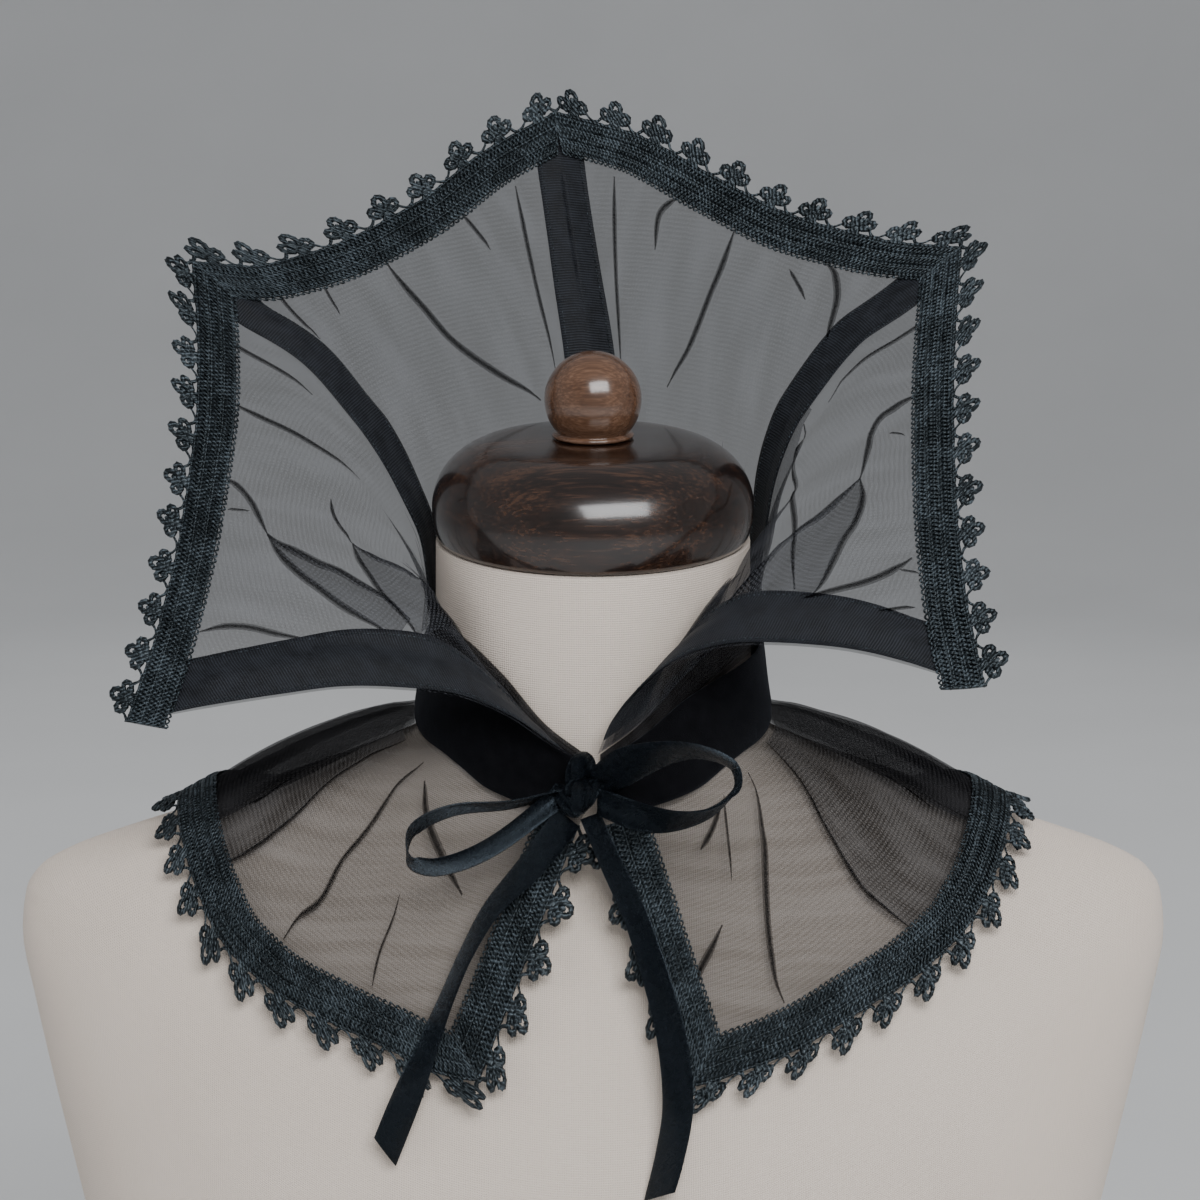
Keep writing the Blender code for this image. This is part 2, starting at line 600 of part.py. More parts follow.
def make_ribbon(name, sides, start, look, group, steps=15):
    """A bone's ribbon: sides lists (surface, s, away, from, to) for each strip of its width."""
    bone = BONES[name.removeprefix("bone_")]
    length = line_length(lambda t: curve_at(bone, t))
    rows = []
    for k in range(steps + 1):
        row = []
        for surface, s, away, near, far in sides:
            for distance in (near, (near + far) / 2.0, far):
                last = 1.0 - lace_inset(surface, s, away, distance) / length
                t = start + (last - start) * k / steps
                place = beside(surface, s, t, away, distance)
                row.append(surface(place, t) + facing(surface, place, t) * RIBBON_LIFT)
        if len(sides) == 2:
            row[2:4] = [(row[2] + row[3]) / 2.0]
        rows.append(row)
    return add_wall(new_object(name, grid_mesh(name, rows), look, group), CLOTH, 1)


def make_lace(name, edge, mitres, lift, look, group, guard=None):
    """A length of lace along an edge: a woven band and a row of three-lobed leaves."""
    count = max(2, round(edge.length / LACE_REPEAT))
    outline = list(LEAF) + [(1.0 - share, out) for share, out in reversed(LEAF)]
    half = LACE_PARTING / 2.0

    def place(share, width):
        start = -width * mitres[0] + half
        end = edge.length + width * mitres[1] - half
        point = edge.place(start + (end - start) * share, width, lift)
        return guard(point) if guard else point

    mesh = bpy.data.meshes.new(name)
    shape = bmesh.new()
    inner = [shape.verts.new(to_metres(place(k / count, -LACE_BAND))) for k in range(count + 1)]
    notch = [shape.verts.new(to_metres(place(k / count, outline[0][1]))) for k in range(count + 1)]
    for k in range(count):
        leaf = [shape.verts.new(to_metres(place((k + share) / count, out))) for share, out in outline[1:-1]]
        shape.faces.new((inner[k], inner[k + 1], notch[k + 1], notch[k]))
        shape.faces.new([notch[k], notch[k + 1]] + list(reversed(leaf)))
    bmesh.ops.recalc_face_normals(shape, faces=shape.faces)
    shape.faces.ensure_lookup_table()
    mid = edge.length / 2.0
    way = edge.place(mid, 0.0, 1.0) - edge.place(mid, 0.0, 0.0)
    middle = shape.faces[2 * (count // 2)]
    middle.normal_update()
    if middle.normal.dot(way) < 0.0:
        bmesh.ops.reverse_faces(shape, faces=shape.faces)
    shape.to_mesh(mesh)
    shape.free()
    return add_wall(new_object(name, mesh, look, group), LACE, 1)


def make_strip(name, line, width_way, width, look, group, end_cut=0.0):
    """A flat ribbon along a line, its width turned to the given way at each point."""
    rows = []
    for k in range(BOW_SAMPLES + 1):
        t = k / BOW_SAMPLES
        here = line(t)
        ahead = (line(min(t + 0.01, 1.0)) - line(max(t - 0.01, 0.0))).normalized()
        way = width_way(t)
        way = (way - ahead * way.dot(ahead)).normalized()
        slant = ahead * end_cut if k == BOW_SAMPLES else Vector((0.0, 0.0, 0.0))
        rows.append([here - way * (width / 2.0) - slant, here, here + way * (width / 2.0) + slant])
    return add_wall(new_object(name, grid_mesh(name, rows), look, group), CLOTH, 0)


def make_knot(look, group):
    bpy.ops.mesh.primitive_cube_add(size=2.0 * MM)
    made = bpy.context.object
    made.name = "bow_knot"
    for holder in list(made.users_collection):
        holder.objects.unlink(made)
    group.objects.link(made)
    made.data.transform(Matrix.Diagonal((*KNOT_HALF, 1.0)))
    made.location = to_metres(KNOT_AT)
    soft = made.modifiers.new("round", "SUBSURF")
    soft.levels = soft.render_levels = 2
    made.data.materials.append(look)
    return made


def tail_line(rows):
    points = [(x, form_front(x, rise) - ahead, rise) for x, rise, ahead in rows]
    return lambda t: curve_at(points, t)


def make_bow(look, group):
    make_knot(look, group)
    make_strip("bow_loop_left", lambda t: curve_at(LOOP_LEFT, t), lambda t: Vector((0.0, -0.8, 0.6)),
               BOW_WIDTH, look, group)
    make_strip("bow_loop_right", lambda t: curve_at(LOOP_RIGHT, t), lambda t: Vector((0.1, -0.75, 0.66)),
               BOW_WIDTH, look, group)
    make_strip("bow_tail_left", tail_line(TAIL_LEFT), lambda t: Vector((1.0, -0.1 * (1 - t), 0.2)),
               BOW_WIDTH, look, group, end_cut=3.0)
    make_strip("bow_tail_right", tail_line(TAIL_RIGHT), lambda t: Vector((1.0, 0.1, -0.1)),
               BOW_WIDTH, look, group, end_cut=-3.0)


def corner_mitre(edge_a, edge_b):
    """Cotangent of half the angle between the end of one edge and the start of the next."""
    back = edge_a.place(edge_a.length - LACE_BAND, 0.0, 0.0) - edge_a.place(edge_a.length, 0.0, 0.0)
    on = edge_b.place(LACE_BAND, 0.0, 0.0) - edge_b.place(0.0, 0.0, 0.0)
    half = back.angle(on) / 2.0
    return 1.0 / tan(half)


def build():
    clear_scene()
    group = collection("detachable_collar")
    sheer = material("black_organza", (0.03, 0.03, 0.035), 0.6)
    ribbon = material("bone_ribbon", (0.012, 0.013, 0.018), 0.7)
    lace = material("black_lace", (0.015, 0.02, 0.028), 0.55)
    velvet = material("neck_velvet", (0.004, 0.004, 0.005), 0.9)
    satin = material("bow_satin", (0.01, 0.012, 0.02), 0.35)
    linen = material("form_linen", (0.72, 0.66, 0.59), 0.85)
    dark_wood = material("cap_wood", (0.08, 0.035, 0.018), 0.3)
    warm_wood = material("knob_wood", (0.2, 0.09, 0.045), 0.3)

    make_form(linen, group)
    make_turned("neck_cap", CAP_PROFILE, dark_wood, group)
    make_turned("cap_knob", knob_profile(), warm_wood, group)
    make_neck_strip("neck_facing", 1, FACING_DEPTH, (FACING_OUT, FACING_OUT), CLOTH, sheer, group)
    make_neck_strip("neck_band", 2, 0.0, (BAND_OUT_TOP, BAND_OUT_BOTTOM), VELVET, velvet, group)

    surfaces = [panel_surface(panel) for panel in PANELS]
    for panel, surface in zip(PANELS, surfaces):
        make_panel(panel, surface, sheer, group)
    top_edges = [Edge(surface, lambda q: (q, 1.0), lambda q: (q, 0.9), 1.0) for surface in surfaces]

    half = RIBBON_WIDTH / 2.0
    for k, name in enumerate(("bone_back_left", "bone_back", "bone_back_right")):
        before, after = surfaces[k], surfaces[k + 1]
        sides = ((before, 1.0, -1, half, 0.4), (after, 0.0, 1, 0.4, half))
        make_ribbon(name, sides, RIBBON_START, ribbon, group)
    near, far = PANEL_PARTING + 0.2, RIBBON_WIDTH
    make_ribbon("bone_front_left", ((surfaces[0], 0.0, 1, near, far),), FRONT_RIBBON_START, ribbon, group)
    make_ribbon("bone_front_right", ((surfaces[3], 1.0, -1, far, near),), FRONT_RIBBON_START, ribbon, group)

    mitres = [corner_mitre(a, b) for a, b in zip(top_edges, top_edges[1:])]
    cuts = [(0.0, mitres[0]), (mitres[0], mitres[1]), (mitres[1], mitres[2]), (mitres[2], 0.0)]
    names = ("lace_side_left", "lace_top_left", "lace_top_right", "lace_side_right")
    for name, edge, cut in zip(names, top_edges, cuts):
        make_lace(name, edge, cut, LACE_LIFT, lace, group)

    cape = cape_surface()
    rows = [[cape(j / CAPE_COLUMNS, i / CAPE_ROWS) for j in range(CAPE_COLUMNS + 1)]
            for i in range(CAPE_ROWS + 1)]
    add_wall(new_object("cape", grid_mesh("cape", rows), sheer, group), CLOTH, 1)
    hem = Edge(cape, lambda q: (q, 1.0), lambda q: (q, 0.9), 1.0)
    first, run = FRONT_LACE_START, 1.0 - FRONT_LACE_START
    left_front = Edge(cape, lambda q: (0.0, first + run * q), lambda q: (0.02, first + run * q), 1.0)
    right_front = Edge(cape, lambda q: (1.0, 1.0 - run * q), lambda q: (0.98, 1.0 - run * q), 1.0)
    left, right = corner_mitre(left_front, hem), corner_mitre(hem, right_front)
    for name, edge, cut in (("lace_cape_front_left", left_front, (0.0, left)),
                            ("lace_cape_hem", hem, (left, right)),
                            ("lace_cape_front_right", right_front, (right, 0.0))):
        make_lace(name, edge, cut, CLOTH + CAPE_LACE_LIFT, lace, group,
                  guard=lambda point: clear_of_form(point, LACE_CLEAR))

    make_bow(satin, group)


build()
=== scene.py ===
"""A detachable standing collar of sheer cloth with a lace edge on a dress form, built round its CAD frame.

The tables and the shapes that they drive are part.py's, in millimetres, with the neck's top at height 0.
Here they are read on fine grids, and the cloth gets its creases, the lace its threads and all of it
its materials. X runs to the viewer's right, Y away from the viewer and Z up.
"""

from collections import namedtuple
from math import asin, cos, pi, radians, sin, tan

import bpy
import numpy as np
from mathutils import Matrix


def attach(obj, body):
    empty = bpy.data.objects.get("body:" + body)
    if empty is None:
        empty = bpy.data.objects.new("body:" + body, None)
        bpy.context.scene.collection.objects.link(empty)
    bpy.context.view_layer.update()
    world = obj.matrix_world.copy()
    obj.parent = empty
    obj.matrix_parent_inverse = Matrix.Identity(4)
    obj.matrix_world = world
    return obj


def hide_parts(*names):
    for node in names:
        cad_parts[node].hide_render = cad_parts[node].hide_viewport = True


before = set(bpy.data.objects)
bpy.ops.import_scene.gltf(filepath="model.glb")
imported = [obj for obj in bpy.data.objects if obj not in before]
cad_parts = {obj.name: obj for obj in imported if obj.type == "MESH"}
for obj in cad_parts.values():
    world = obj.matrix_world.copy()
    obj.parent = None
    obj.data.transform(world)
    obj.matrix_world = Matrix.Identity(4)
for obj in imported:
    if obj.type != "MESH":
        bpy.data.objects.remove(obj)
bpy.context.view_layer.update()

MM = 0.001
SLOPE_STEP = 0.004        # share of a surface over which its slope is measured
INWARD_STEPS = 3          # steps in which a place is moved in from an edge
FORM_STEP = 1.5           # mm, over which the form's slope is measured
DRAWS = np.random.default_rng(7)      # the only random numbers, always the same

# Camera: the photograph's angle
AIM = (0.0024, 0.0, 0.4187)
CAMERA_AWAY = 1.15
CAMERA_RISE = radians(9.0)
CAMERA_LENS = 100.0
CAMERA_SENSOR = 36.0

# Driving sizes, as in part.py
NECK_TOP = 440.0
NECK_TILT = radians(6.0)
TILT_FADES_BY = 62.0
SEAM_GAP = 0.3
CLOTH = 1.0
VELVET = 2.0
RIBBON_WIDTH = 19.5
RIBBON_LIFT = 0.5
BOW_WIDTH = 10.0
LACE_BAND = 13.5
LACE_REPEAT = 16.4
LACE_PARTING = -0.8       # the lengths cross a little at the corners
LACE_LIFT = 0.6
CAPE_LACE_LIFT = 1.5
LACE_CLEAR = 1.0
CAP_RADIUS = 53.0
KNOB_RADIUS = 16.6

Slice = namedtuple("Slice", "drop half_width front back power")
FORM = (
    Slice(0.0, 54.0, 54.0, 54.0, 2.0),
    Slice(20.0, 54.2, 53.8, 55.5, 2.0),
    Slice(40.0, 54.6, 53.4, 58.0, 2.0),
    Slice(56.0, 55.6, 53.0, 61.5, 2.0),
    Slice(62.0, 57.6, 53.0, 63.5, 1.95),
    Slice(66.0, 61.5, 53.0, 65.0, 1.88),
    Slice(70.0, 71.0, 53.0, 66.5, 1.75),
    Slice(77.5, 92.0, 53.0, 69.5, 1.62),
    Slice(85.5, 116.0, 53.2, 73.0, 1.56),
    Slice(93.0, 136.0, 53.8, 76.0, 1.55),
    Slice(101.0, 161.0, 55.0, 79.5, 1.58),
    Slice(109.0, 183.0, 57.5, 83.0, 1.66),
    Slice(115.0, 193.0, 60.5, 85.0, 1.74),
    Slice(123.0, 198.0, 64.5, 87.5, 1.86),
    Slice(136.0, 199.5, 71.0, 91.5, 2.02),
    Slice(160.0, 195.0, 82.0, 96.5, 2.22),
    Slice(200.0, 185.5, 96.0, 101.0, 2.4),
    Slice(245.0, 174.0, 106.5, 101.5, 2.5),
    Slice(300.0, 158.0, 110.0, 96.0, 2.45),
    Slice(350.0, 143.0, 103.0, 88.0, 2.35),
    Slice(400.0, 131.0, 93.0, 80.5, 2.25),
    Slice(440.0, 127.0, 88.0, 78.0, 2.2),
)
NECK_ROWS_TO = 56.0
SHOULDER_DROPS = (0.0, 199.0)
HALVINGS = 22

Around = namedtuple("Around", "angle neckline band_top band_bottom")
NECK_LINES = (
    Around(0.0, 66.0, 68.5, 84.0),
    Around(15.0, 54.5, 58.5, 82.5),
    Around(33.0, 36.0, 45.0, 78.0),
    Around(48.0, 27.0, 39.5, 71.5),
    Around(65.0, 22.5, 36.5, 66.5),
    Around(90.0, 20.5, 33.5, 62.5),
    Around(135.0, 15.0, 27.0, 57.0),
    Around(180.0, 11.0, 22.0, 52.0),
)
FACING_OUT = 1.3
FACING_DEPTH = 16.0
PANEL_OUT = 2.6
BAND_OUT_TOP = 2.6
BAND_OUT_BOTTOM = 4.6
STRIP_CLEAR = 0.5
FRONT_SLIT = 2.5

BONES = {
    "front_left": ((-5.8, -59.0, -64.7), (-14.0, -60.5, -60.0), (-27.1, -62.5, -50.6),
                   (-43.4, -64.5, -43.2), (-62.9, -66.0, -40.6), (-82.4, -67.0, -40.1),
                   (-102.0, -67.5, -42.6), (-128.0, -67.5, -46.8), (-152.0, -66.0, -51.5)),
    "back_left": ((-56.7, 8.0, -22.0), (-57.7, 8.5, -8.6), (-59.7, 9.5, 3.5), (-64.1, 10.5, 13.9),
                  (-73.8, 13.0, 32.0), (-83.5, 15.0, 46.4), (-101.0, 18.5, 66.0), (-125.0, 23.0, 81.5),
                  (-139.5, 26.0, 93.0)),
    "back": ((2.5, 58.9, -10.5), (1.5, 61.0, 20.0), (-1.2, 66.0, 57.8), (-6.3, 74.0, 89.7),
             (-12.0, 83.0, 127.1), (-13.8, 87.0, 144.3)),
    "back_right": ((57.2, 9.0, -21.5), (58.2, 10.0, -8.8), (60.0, 12.0, 4.9), (62.2, 14.0, 18.7),
                   (66.5, 16.0, 32.4), (73.0, 18.0, 46.1), (92.5, 24.0, 70.2), (107.0, 28.0, 80.5),
                   (129.0, 34.0, 97.5)),
    "front_right": ((1.5, -59.4, -63.5), (5.7, -61.0, -53.5), (15.5, -63.5, -41.0),
                    (25.2, -66.5, -32.6), (34.9, -69.5, -27.6), (47.7, -73.0, -24.6),
                    (73.0, -80.5, -24.2), (92.0, -86.0, -26.5), (124.5, -96.0, -34.4)),
}
Panel = namedtuple("Panel", "name start end start_angle end_angle dip_way dips")
PANELS = (
    Panel("organza_side_left", "front_left", "back_left", -6.0, -98.0, (0.96, -0.26, 0.08),
          (0.0, 6.8, 9.9, 10.2, 6.8, 0.0)),
    Panel("organza_back_left", "back_left", "back", -98.0, -182.5, (0.0, -0.16, -0.99),
          (0.0, 11.7, 14.6, 12.0, 3.4, 0.0)),
    Panel("organza_back_right", "back", "back_right", -182.5, -261.0, (0.0, -0.16, -0.99),
          (0.0, -1.6, 4.0, 8.5, 6.7, 0.0)),
    Panel("organza_side_right", "back_right", "front_right", -261.0, -358.5, (-0.97, -0.22, 0.08),
          (0.0, 3.8, 6.2, 6.8, 5.2, 0.0)),
)
PANEL_PARTING = 0.5
PANEL_JOIN = 0.05         # the sheer panels meet at the bones
RIBBON_START = 0.0
FRONT_RIBBON_START = 0.03
RIBBON_UNDER = 11.5       # how far a ribbon runs on under the lace
Fold = namedtuple("Fold", "s0 t0 s1 t1 width depth")
PANEL_FOLDS = {
    "organza_side_left": (Fold(0.46, 0.06, 0.55, 0.98, 9.0, -3.0), Fold(0.74, 0.05, 0.80, 0.60, 8.0, -2.4),
                          Fold(0.13, 0.10, 0.16, 0.96, 8.0, -1.8)),
    "organza_back_left": (Fold(0.60, 0.25, 0.30, 0.80, 8.0, -2.0), Fold(0.75, 0.20, 0.62, 0.98, 9.0, 2.0),
                          Fold(0.14, 0.45, 0.12, 0.98, 7.0, -2.2)),
    "organza_back_right": (Fold(0.30, 0.30, 0.32, 0.98, 9.0, -2.0), Fold(0.66, 0.25, 0.72, 0.98, 8.0, 2.2)),
    "organza_side_right": (Fold(0.42, 0.05, 0.36, 0.98, 10.0, -3.4), Fold(0.16, 0.05, 0.14, 0.62, 7.0, -2.2),
                           Fold(0.62, 0.05, 0.66, 0.97, 8.0, -2.4)),
}
PANEL_SPAN = (135.0, 125.0)
FOLDS_END = 0.91

# The cape's hem on plan: angle from the front in degrees and radius in mm
CAPE_HEM = (
    (-23.5, 92.5), (-31.0, 97.0), (-40.0, 103.0), (-50.0, 113.0), (-60.0, 126.0),
    (-68.0, 135.5), (-77.0, 140.5), (-90.0, 143.0), (-110.0, 136.0), (-135.0, 114.0),
    (-160.0, 98.0), (-180.0, 94.0), (-200.0, 98.0), (-225.0, 114.0), (-250.0, 136.0),
    (-270.0, 143.5), (-283.0, 141.0), (-291.0, 135.5), (-299.0, 125.5), (-309.0, 113.0),
    (-320.0, 103.0), (-330.0, 96.0), (-339.5, 91.5),
)
CAPE_OUT = 4.8
CAPE_BELOW_BAND = 2.6
CAPE_SEAM_CLEAR = 1.8
CAPE_LIFT = 2.4
CAPE_PUFF = 3.0           # less than the solid: the doubled cloth behind the shoulder fills the rest
PUFF_FROM = 35.0
PUFF_FULL_BY = 80.0
CAPE_SPAN = (620.0, 48.0)
FRONT_LACE_START = 0.02
CAPE_TUCK = -0.07         # how far up it goes under the band
# Where the cape lies folded behind the shoulders: from the front edge's foot and hem to the back edge
CAPE_DOUBLED = ((0.235, 0.290, 0.352), (0.765, 0.710, 0.648))
Pleat = namedtuple("Pleat", "at width height")
CAPE_PLEATS = (
    Pleat(0.035, 0.016, 2.6), Pleat(0.085, 0.014, 2.2), Pleat(0.135, 0.018, 3.4), Pleat(0.185, 0.015, 2.4),
    Pleat(0.225, 0.013, 2.8), Pleat(0.275, 0.016, 4.0), Pleat(0.325, 0.015, 2.6), Pleat(0.375, 0.018, 3.2),
    Pleat(0.425, 0.015, 2.4), Pleat(0.470, 0.016, 3.0), Pleat(0.515, 0.015, 2.6), Pleat(0.560, 0.018, 3.4),
    Pleat(0.610, 0.015, 2.6), Pleat(0.655, 0.016, 3.0), Pleat(0.700, 0.016, 3.8), Pleat(0.745, 0.014, 4.2),
    Pleat(0.790, 0.015, 2.6), Pleat(0.830, 0.017, 3.2), Pleat(0.880, 0.015, 3.6), Pleat(0.925, 0.014, 2.4),
    Pleat(0.965, 0.016, 2.8),
)

# The knot's folds: centre, half sizes, ripples round it and how far it leans
KNOT_FOLDS = (
    ((-5.0, -65.8, -76.0), (5.4, 6.6, 6.6), 7, 0.25),
    ((-8.6, -66.6, -77.4), (3.4, 5.4, 5.6), 5, -0.5),
    ((-1.2, -66.4, -75.2), (3.4, 5.2, 6.2), 5, 0.55),
    ((-4.2, -63.6, -69.0), (4.6, 3.6, 7.4), 6, 0.15),
)
LOOP_LEFT = ((-11.2, -67.5, -74.6), (-27.0, -76.0, -76.5), (-46.0, -80.0, -77.5), (-58.5, -82.0, -84.0),
             (-59.0, -83.5, -93.5), (-50.0, -83.0, -96.0), (-33.0, -78.5, -90.5), (-11.5, -69.0, -76.3))
LOOP_RIGHT = ((1.3, -67.5, -71.9), (14.0, -76.0, -62.5), (31.0, -82.0, -58.0), (44.5, -85.5, -61.5),
              (46.0, -86.0, -69.0), (36.0, -84.0, -77.5), (19.0, -78.0, -80.5), (1.5, -68.8, -76.9))
TAIL_LEFT = ((-8.0, -82.9, 14.6), (-20.0, -98.0, 17.0), (-33.0, -112.0, 15.0), (-41.5, -126.0, 12.5),
             (-47.5, -139.0, 11.0), (-53.0, -152.0, 10.0), (-59.5, -168.0, 9.2), (-67.5, -188.0, 5.5))
TAIL_RIGHT = ((-0.6, -82.6, 12.6), (6.0, -97.0, 16.0), (14.0, -114.0, 14.0), (20.0, -131.0, 11.5),
              (24.5, -146.0, 10.5), (27.0, -160.0, 9.6), (27.5, -174.0, 8.4), (25.0, -188.0, 6.0),
              (21.5, -201.0, 4.4))
CAP_PROFILE = ((0.0, 35.4), (15.0, 35.3), (30.0, 34.9), (37.5, 33.8), (43.6, 31.2), (48.8, 27.2),
               (52.6, 22.0), (54.8, 15.8), (55.2, 10.6), (54.6, 5.4), (CAP_RADIUS, 0.8), (52.0, 0.0),
               (0.0, 0.0))
KNOB_CENTRE = 48.6
KNOB_RING = ((12.4, 37.4), (13.6, 37.1), (14.1, 36.4), (13.6, 35.7), (0.0, 35.7))

Crease = namedtuple("Crease", "height line")


def crease_table(*rows):
    """Sharp creases: each a height in mm, then the places it runs through in thousandths of the cloth."""
    return [Crease(height, np.array(places) / 1000.0) for height, *places in rows]


# Creases of the panels, places along and up a panel. The first lot follow the photograph, and the rest
# are like them where it shows less.
PANEL_CREASES = {
    "organza_side_left": crease_table(
        (1.6, (534, 891), (515, 843), (482, 804), (444, 776), (405, 749)),
        (1.8, (405, 749), (381, 712), (360, 653), (338, 593), (325, 535), (302, 478), (277, 409),
         (235, 347)),
        (1.6, (405, 749), (355, 710), (306, 650), (269, 592), (234, 538), (210, 486), (191, 436),
         (167, 400)),
        (1.5, (564, 557), (525, 547), (482, 525), (435, 490)),
        (1.6, (435, 490), (416, 450), (413, 400), (434, 323), (522, 210)),
        (1.4, (435, 490), (383, 477), (335, 445), (290, 416), (260, 384), (219, 350), (183, 332)),
        (0.8, (180, 891), (188, 830), (183, 768), (162, 691), (146, 615)),
        (0.8, (460, 870), (462, 807)),
        (0.7, (870, 930), (868, 800), (862, 640)),
        (0.9, (720, 895), (705, 760), (700, 610), (725, 450)),
    ),
    "organza_back_left": crease_table(
        (1.2, (163, 900), (148, 861), (130, 721)),
        (0.8, (289, 895), (257, 787)),
        (1.5, (473, 894), (484, 753), (524, 607), (646, 466), (778, 362)),
        (1.0, (703, 893), (741, 767)),
        (0.7, (860, 880), (850, 640), (858, 420)),
    ),
    "organza_back_right": crease_table(
        (1.3, (322, 895), (278, 826), (270, 730)),
        (1.2, (720, 895), (769, 862), (878, 713), (949, 600)),
        (0.9, (652, 841), (749, 758)),
        (1.1, (480, 890), (470, 700), (420, 520), (330, 400)),
        (0.7, (150, 880), (142, 640), (130, 400)),
    ),
    "organza_side_right": crease_table(
        (1.7, (321, 880), (329, 803), (339, 756), (374, 731), (428, 725), (483, 716), (529, 704)),
        (1.8, (529, 704), (574, 643), (606, 580), (629, 517), (680, 468), (723, 445), (788, 385),
         (852, 330)),
        (1.7, (529, 704), (586, 717), (648, 697), (694, 671), (752, 647), (804, 626), (849, 596)),
        (1.4, (103, 462), (215, 444), (340, 425), (585, 493), (734, 524), (825, 547)),
        (1.2, (739, 861), (762, 827), (794, 772), (817, 720), (832, 668), (852, 591), (868, 528)),
        (0.8, (854, 861), (864, 821), (889, 743)),
        (0.7, (393, 790), (419, 840)),
        (0.7, (771, 826), (773, 880)),
        (0.8, (130, 930), (128, 760), (135, 560)),
    ),
}
# Where a panel lies doubled on itself: the two edges of each flap, and its layers
Flap = namedtuple("Flap", "layers upper lower")
PANEL_FLAPS = {
    "organza_side_left": (
        Flap(1, PANEL_CREASES["organza_side_left"][1].line, PANEL_CREASES["organza_side_left"][2].line),
        Flap(1, PANEL_CREASES["organza_side_left"][4].line, PANEL_CREASES["organza_side_left"][5].line),
        Flap(2, ((0.522, 0.210), (0.570, 0.110), (0.600, 0.0)),
             ((0.183, 0.332), (0.340, 0.150), (0.440, 0.0))),
    ),
    "organza_back_left": (),
    "organza_back_right": (),
    "organza_side_right": (
        Flap(1, PANEL_CREASES["organza_side_right"][1].line, PANEL_CREASES["organza_side_right"][2].line),
        Flap(1, ((0.03, 0.12), (0.03, 0.30), (0.03, 0.48)), ((0.12, 0.12), (0.16, 0.30), (0.09, 0.50))),
        Flap(3, ((0.50, 0.0), (0.56, 0.16), (0.68, 0.32)), ((0.985, 0.0), (0.985, 0.16), (0.985, 0.32))),
    ),
}
# Where small folds rise from the neck seam: the first and last place along it, and how many
PANEL_GATHERS = {"organza_side_left": ((0.50, 0.99), 17), "organza_back_left": ((0.03, 0.97), 15),
                 "organza_back_right": ((0.03, 0.97), 15), "organza_side_right": ((0.02, 0.52), 17)}
CAPE_CREASES = crease_table(
    (1.3, (254, 897), (244, 748), (238, 573), (233, 384), (221, 220), (205, 60)),
    (1.4, (184, 858), (183, 774), (176, 684), (179, 528), (176, 419), (172, 255), (169, 174), (159, 60)),
    (0.9, (119, 833), (123, 721), (124, 596), (127, 510)),
    (1.2, (149, 108), (130, 228), (104, 304), (79, 384)),
    (1.3, (812, 864), (820, 754), (825, 663), (822, 460), (819, 281), (819, 121), (818, 20)),
    (1.5, (905, 834), (905, 746), (897, 583), (886, 438), (871, 278), (860, 124), (860, 50)),
    (1.0, (974, 700), (961, 618), (939, 522), (930, 487)),
    (0.9, (889, 60), (900, 213), (909, 345)),
    (0.9, (926, 195), (903, 118), (892, 71)),
    (1.1, (280, 781), (273, 695), (271, 535)),
    (1.1, (728, 718), (732, 593), (736, 466)),
    (1.2, (338, 860), (334, 600), (330, 330), (322, 70)),
    (0.9, (402, 800), (398, 520), (401, 250)),
    (1.3, (452, 870), (455, 560), (449, 280), (442, 60)),
    (0.8, (503, 620), (498, 350), (500, 100)),
    (1.2, (548, 860), (544, 590), (549, 320), (556, 70)),
    (0.9, (604, 780), (600, 500), (596, 240)),
    (1.3, (664, 870), (669, 580), (666, 300), (672, 60)),
)

# Fineness of the visual model
PANEL_COLUMNS, PANEL_ROWS = 100, 88
CAPE_COLUMNS, CAPE_ROWS = 420, 40
FORM_COLUMNS = 160
FORM_RUNS = ((0.0, 60.0, 34), (60.0, 130.0, 60), (130.0, 440.0, 58))      # from drop to drop, rows
CAP_ROWS, KNOB_STEPS = 70, 40
TURNED_STEPS = 112
RIBBON_ROWS = 70
STRIP_ROWS = 90
CREASE_WIDTH = 2.2        # mm, how far a crease's ridge reaches
CREASE_LINES = (2.6, 1.4, 0.8)     # mm, widths of the strips that paint its shade
CREASE_STEPS = 26
FOLD_STEP = 0.006         # share of a cloth over which a small fold's normal is measured
CAPE_LINES = (2.4, 1.3, 0.8)
CAPE_STEP = 0.012         # share of the cape over which a fold's normal is measured
LINE_LIFT, LINE_GAP = 0.12, 0.09          # mm, the first strip over the cloth and each next one
FLAP_GAP = 0.4            # mm between the layers of a doubled panel
HEM_GAP = 0.45            # mm between the cape and its turned-up hem
EDGE_FOLD_LIFT = 0.3      # mm, the fold beside the cape's doubled cloth
FACING_LAYERS = ((0.0, 0.0), (2.0, 0.32), (4.5, 0.62))     # mm, how much shorter and farther out
RIPPLE = 0.12             # mm, the gathers of the neck facing
FOLD_LIFT, FOLD_GAP, FOLD_SWELL = 0.45, 0.6, 3.0           # mm, the cape's doubled cloth over it
RIBBON_THICK = 0.5
RIBBON_COLUMNS = 15
RIBBON_BASE = 0.35        # mm, a ribbon's middle layer over its seat
CROWN_HEIGHT, CROWN_WIDTH = 0.55, 0.42                     # over the bone: mm, and share of half the width
SEAM_DEPTH, SEAM_AT, SEAM_WIDTH = 0.16, 0.86, 0.05         # the stitched groove near both edges, the same
WOBBLE = 0.14             # mm, how unevenly the ribbon's edges lie
SATIN_THICK = 0.6
SATIN_COLUMNS = 11
CUT_FROM = 0.94           # share of a tail at which its slanting end begins
PLEAT_DEPTH, PLEAT_FADE = 0.35, 0.12                       # where a loop goes into the knot: mm, share of it
KNOT_ROWS, KNOT_COLUMNS = 36, 64
STITCH_PITCH = 2.0        # mm
STITCH_SPAN = (0.2, 0.75)  # where in its pitch a stitch begins and ends
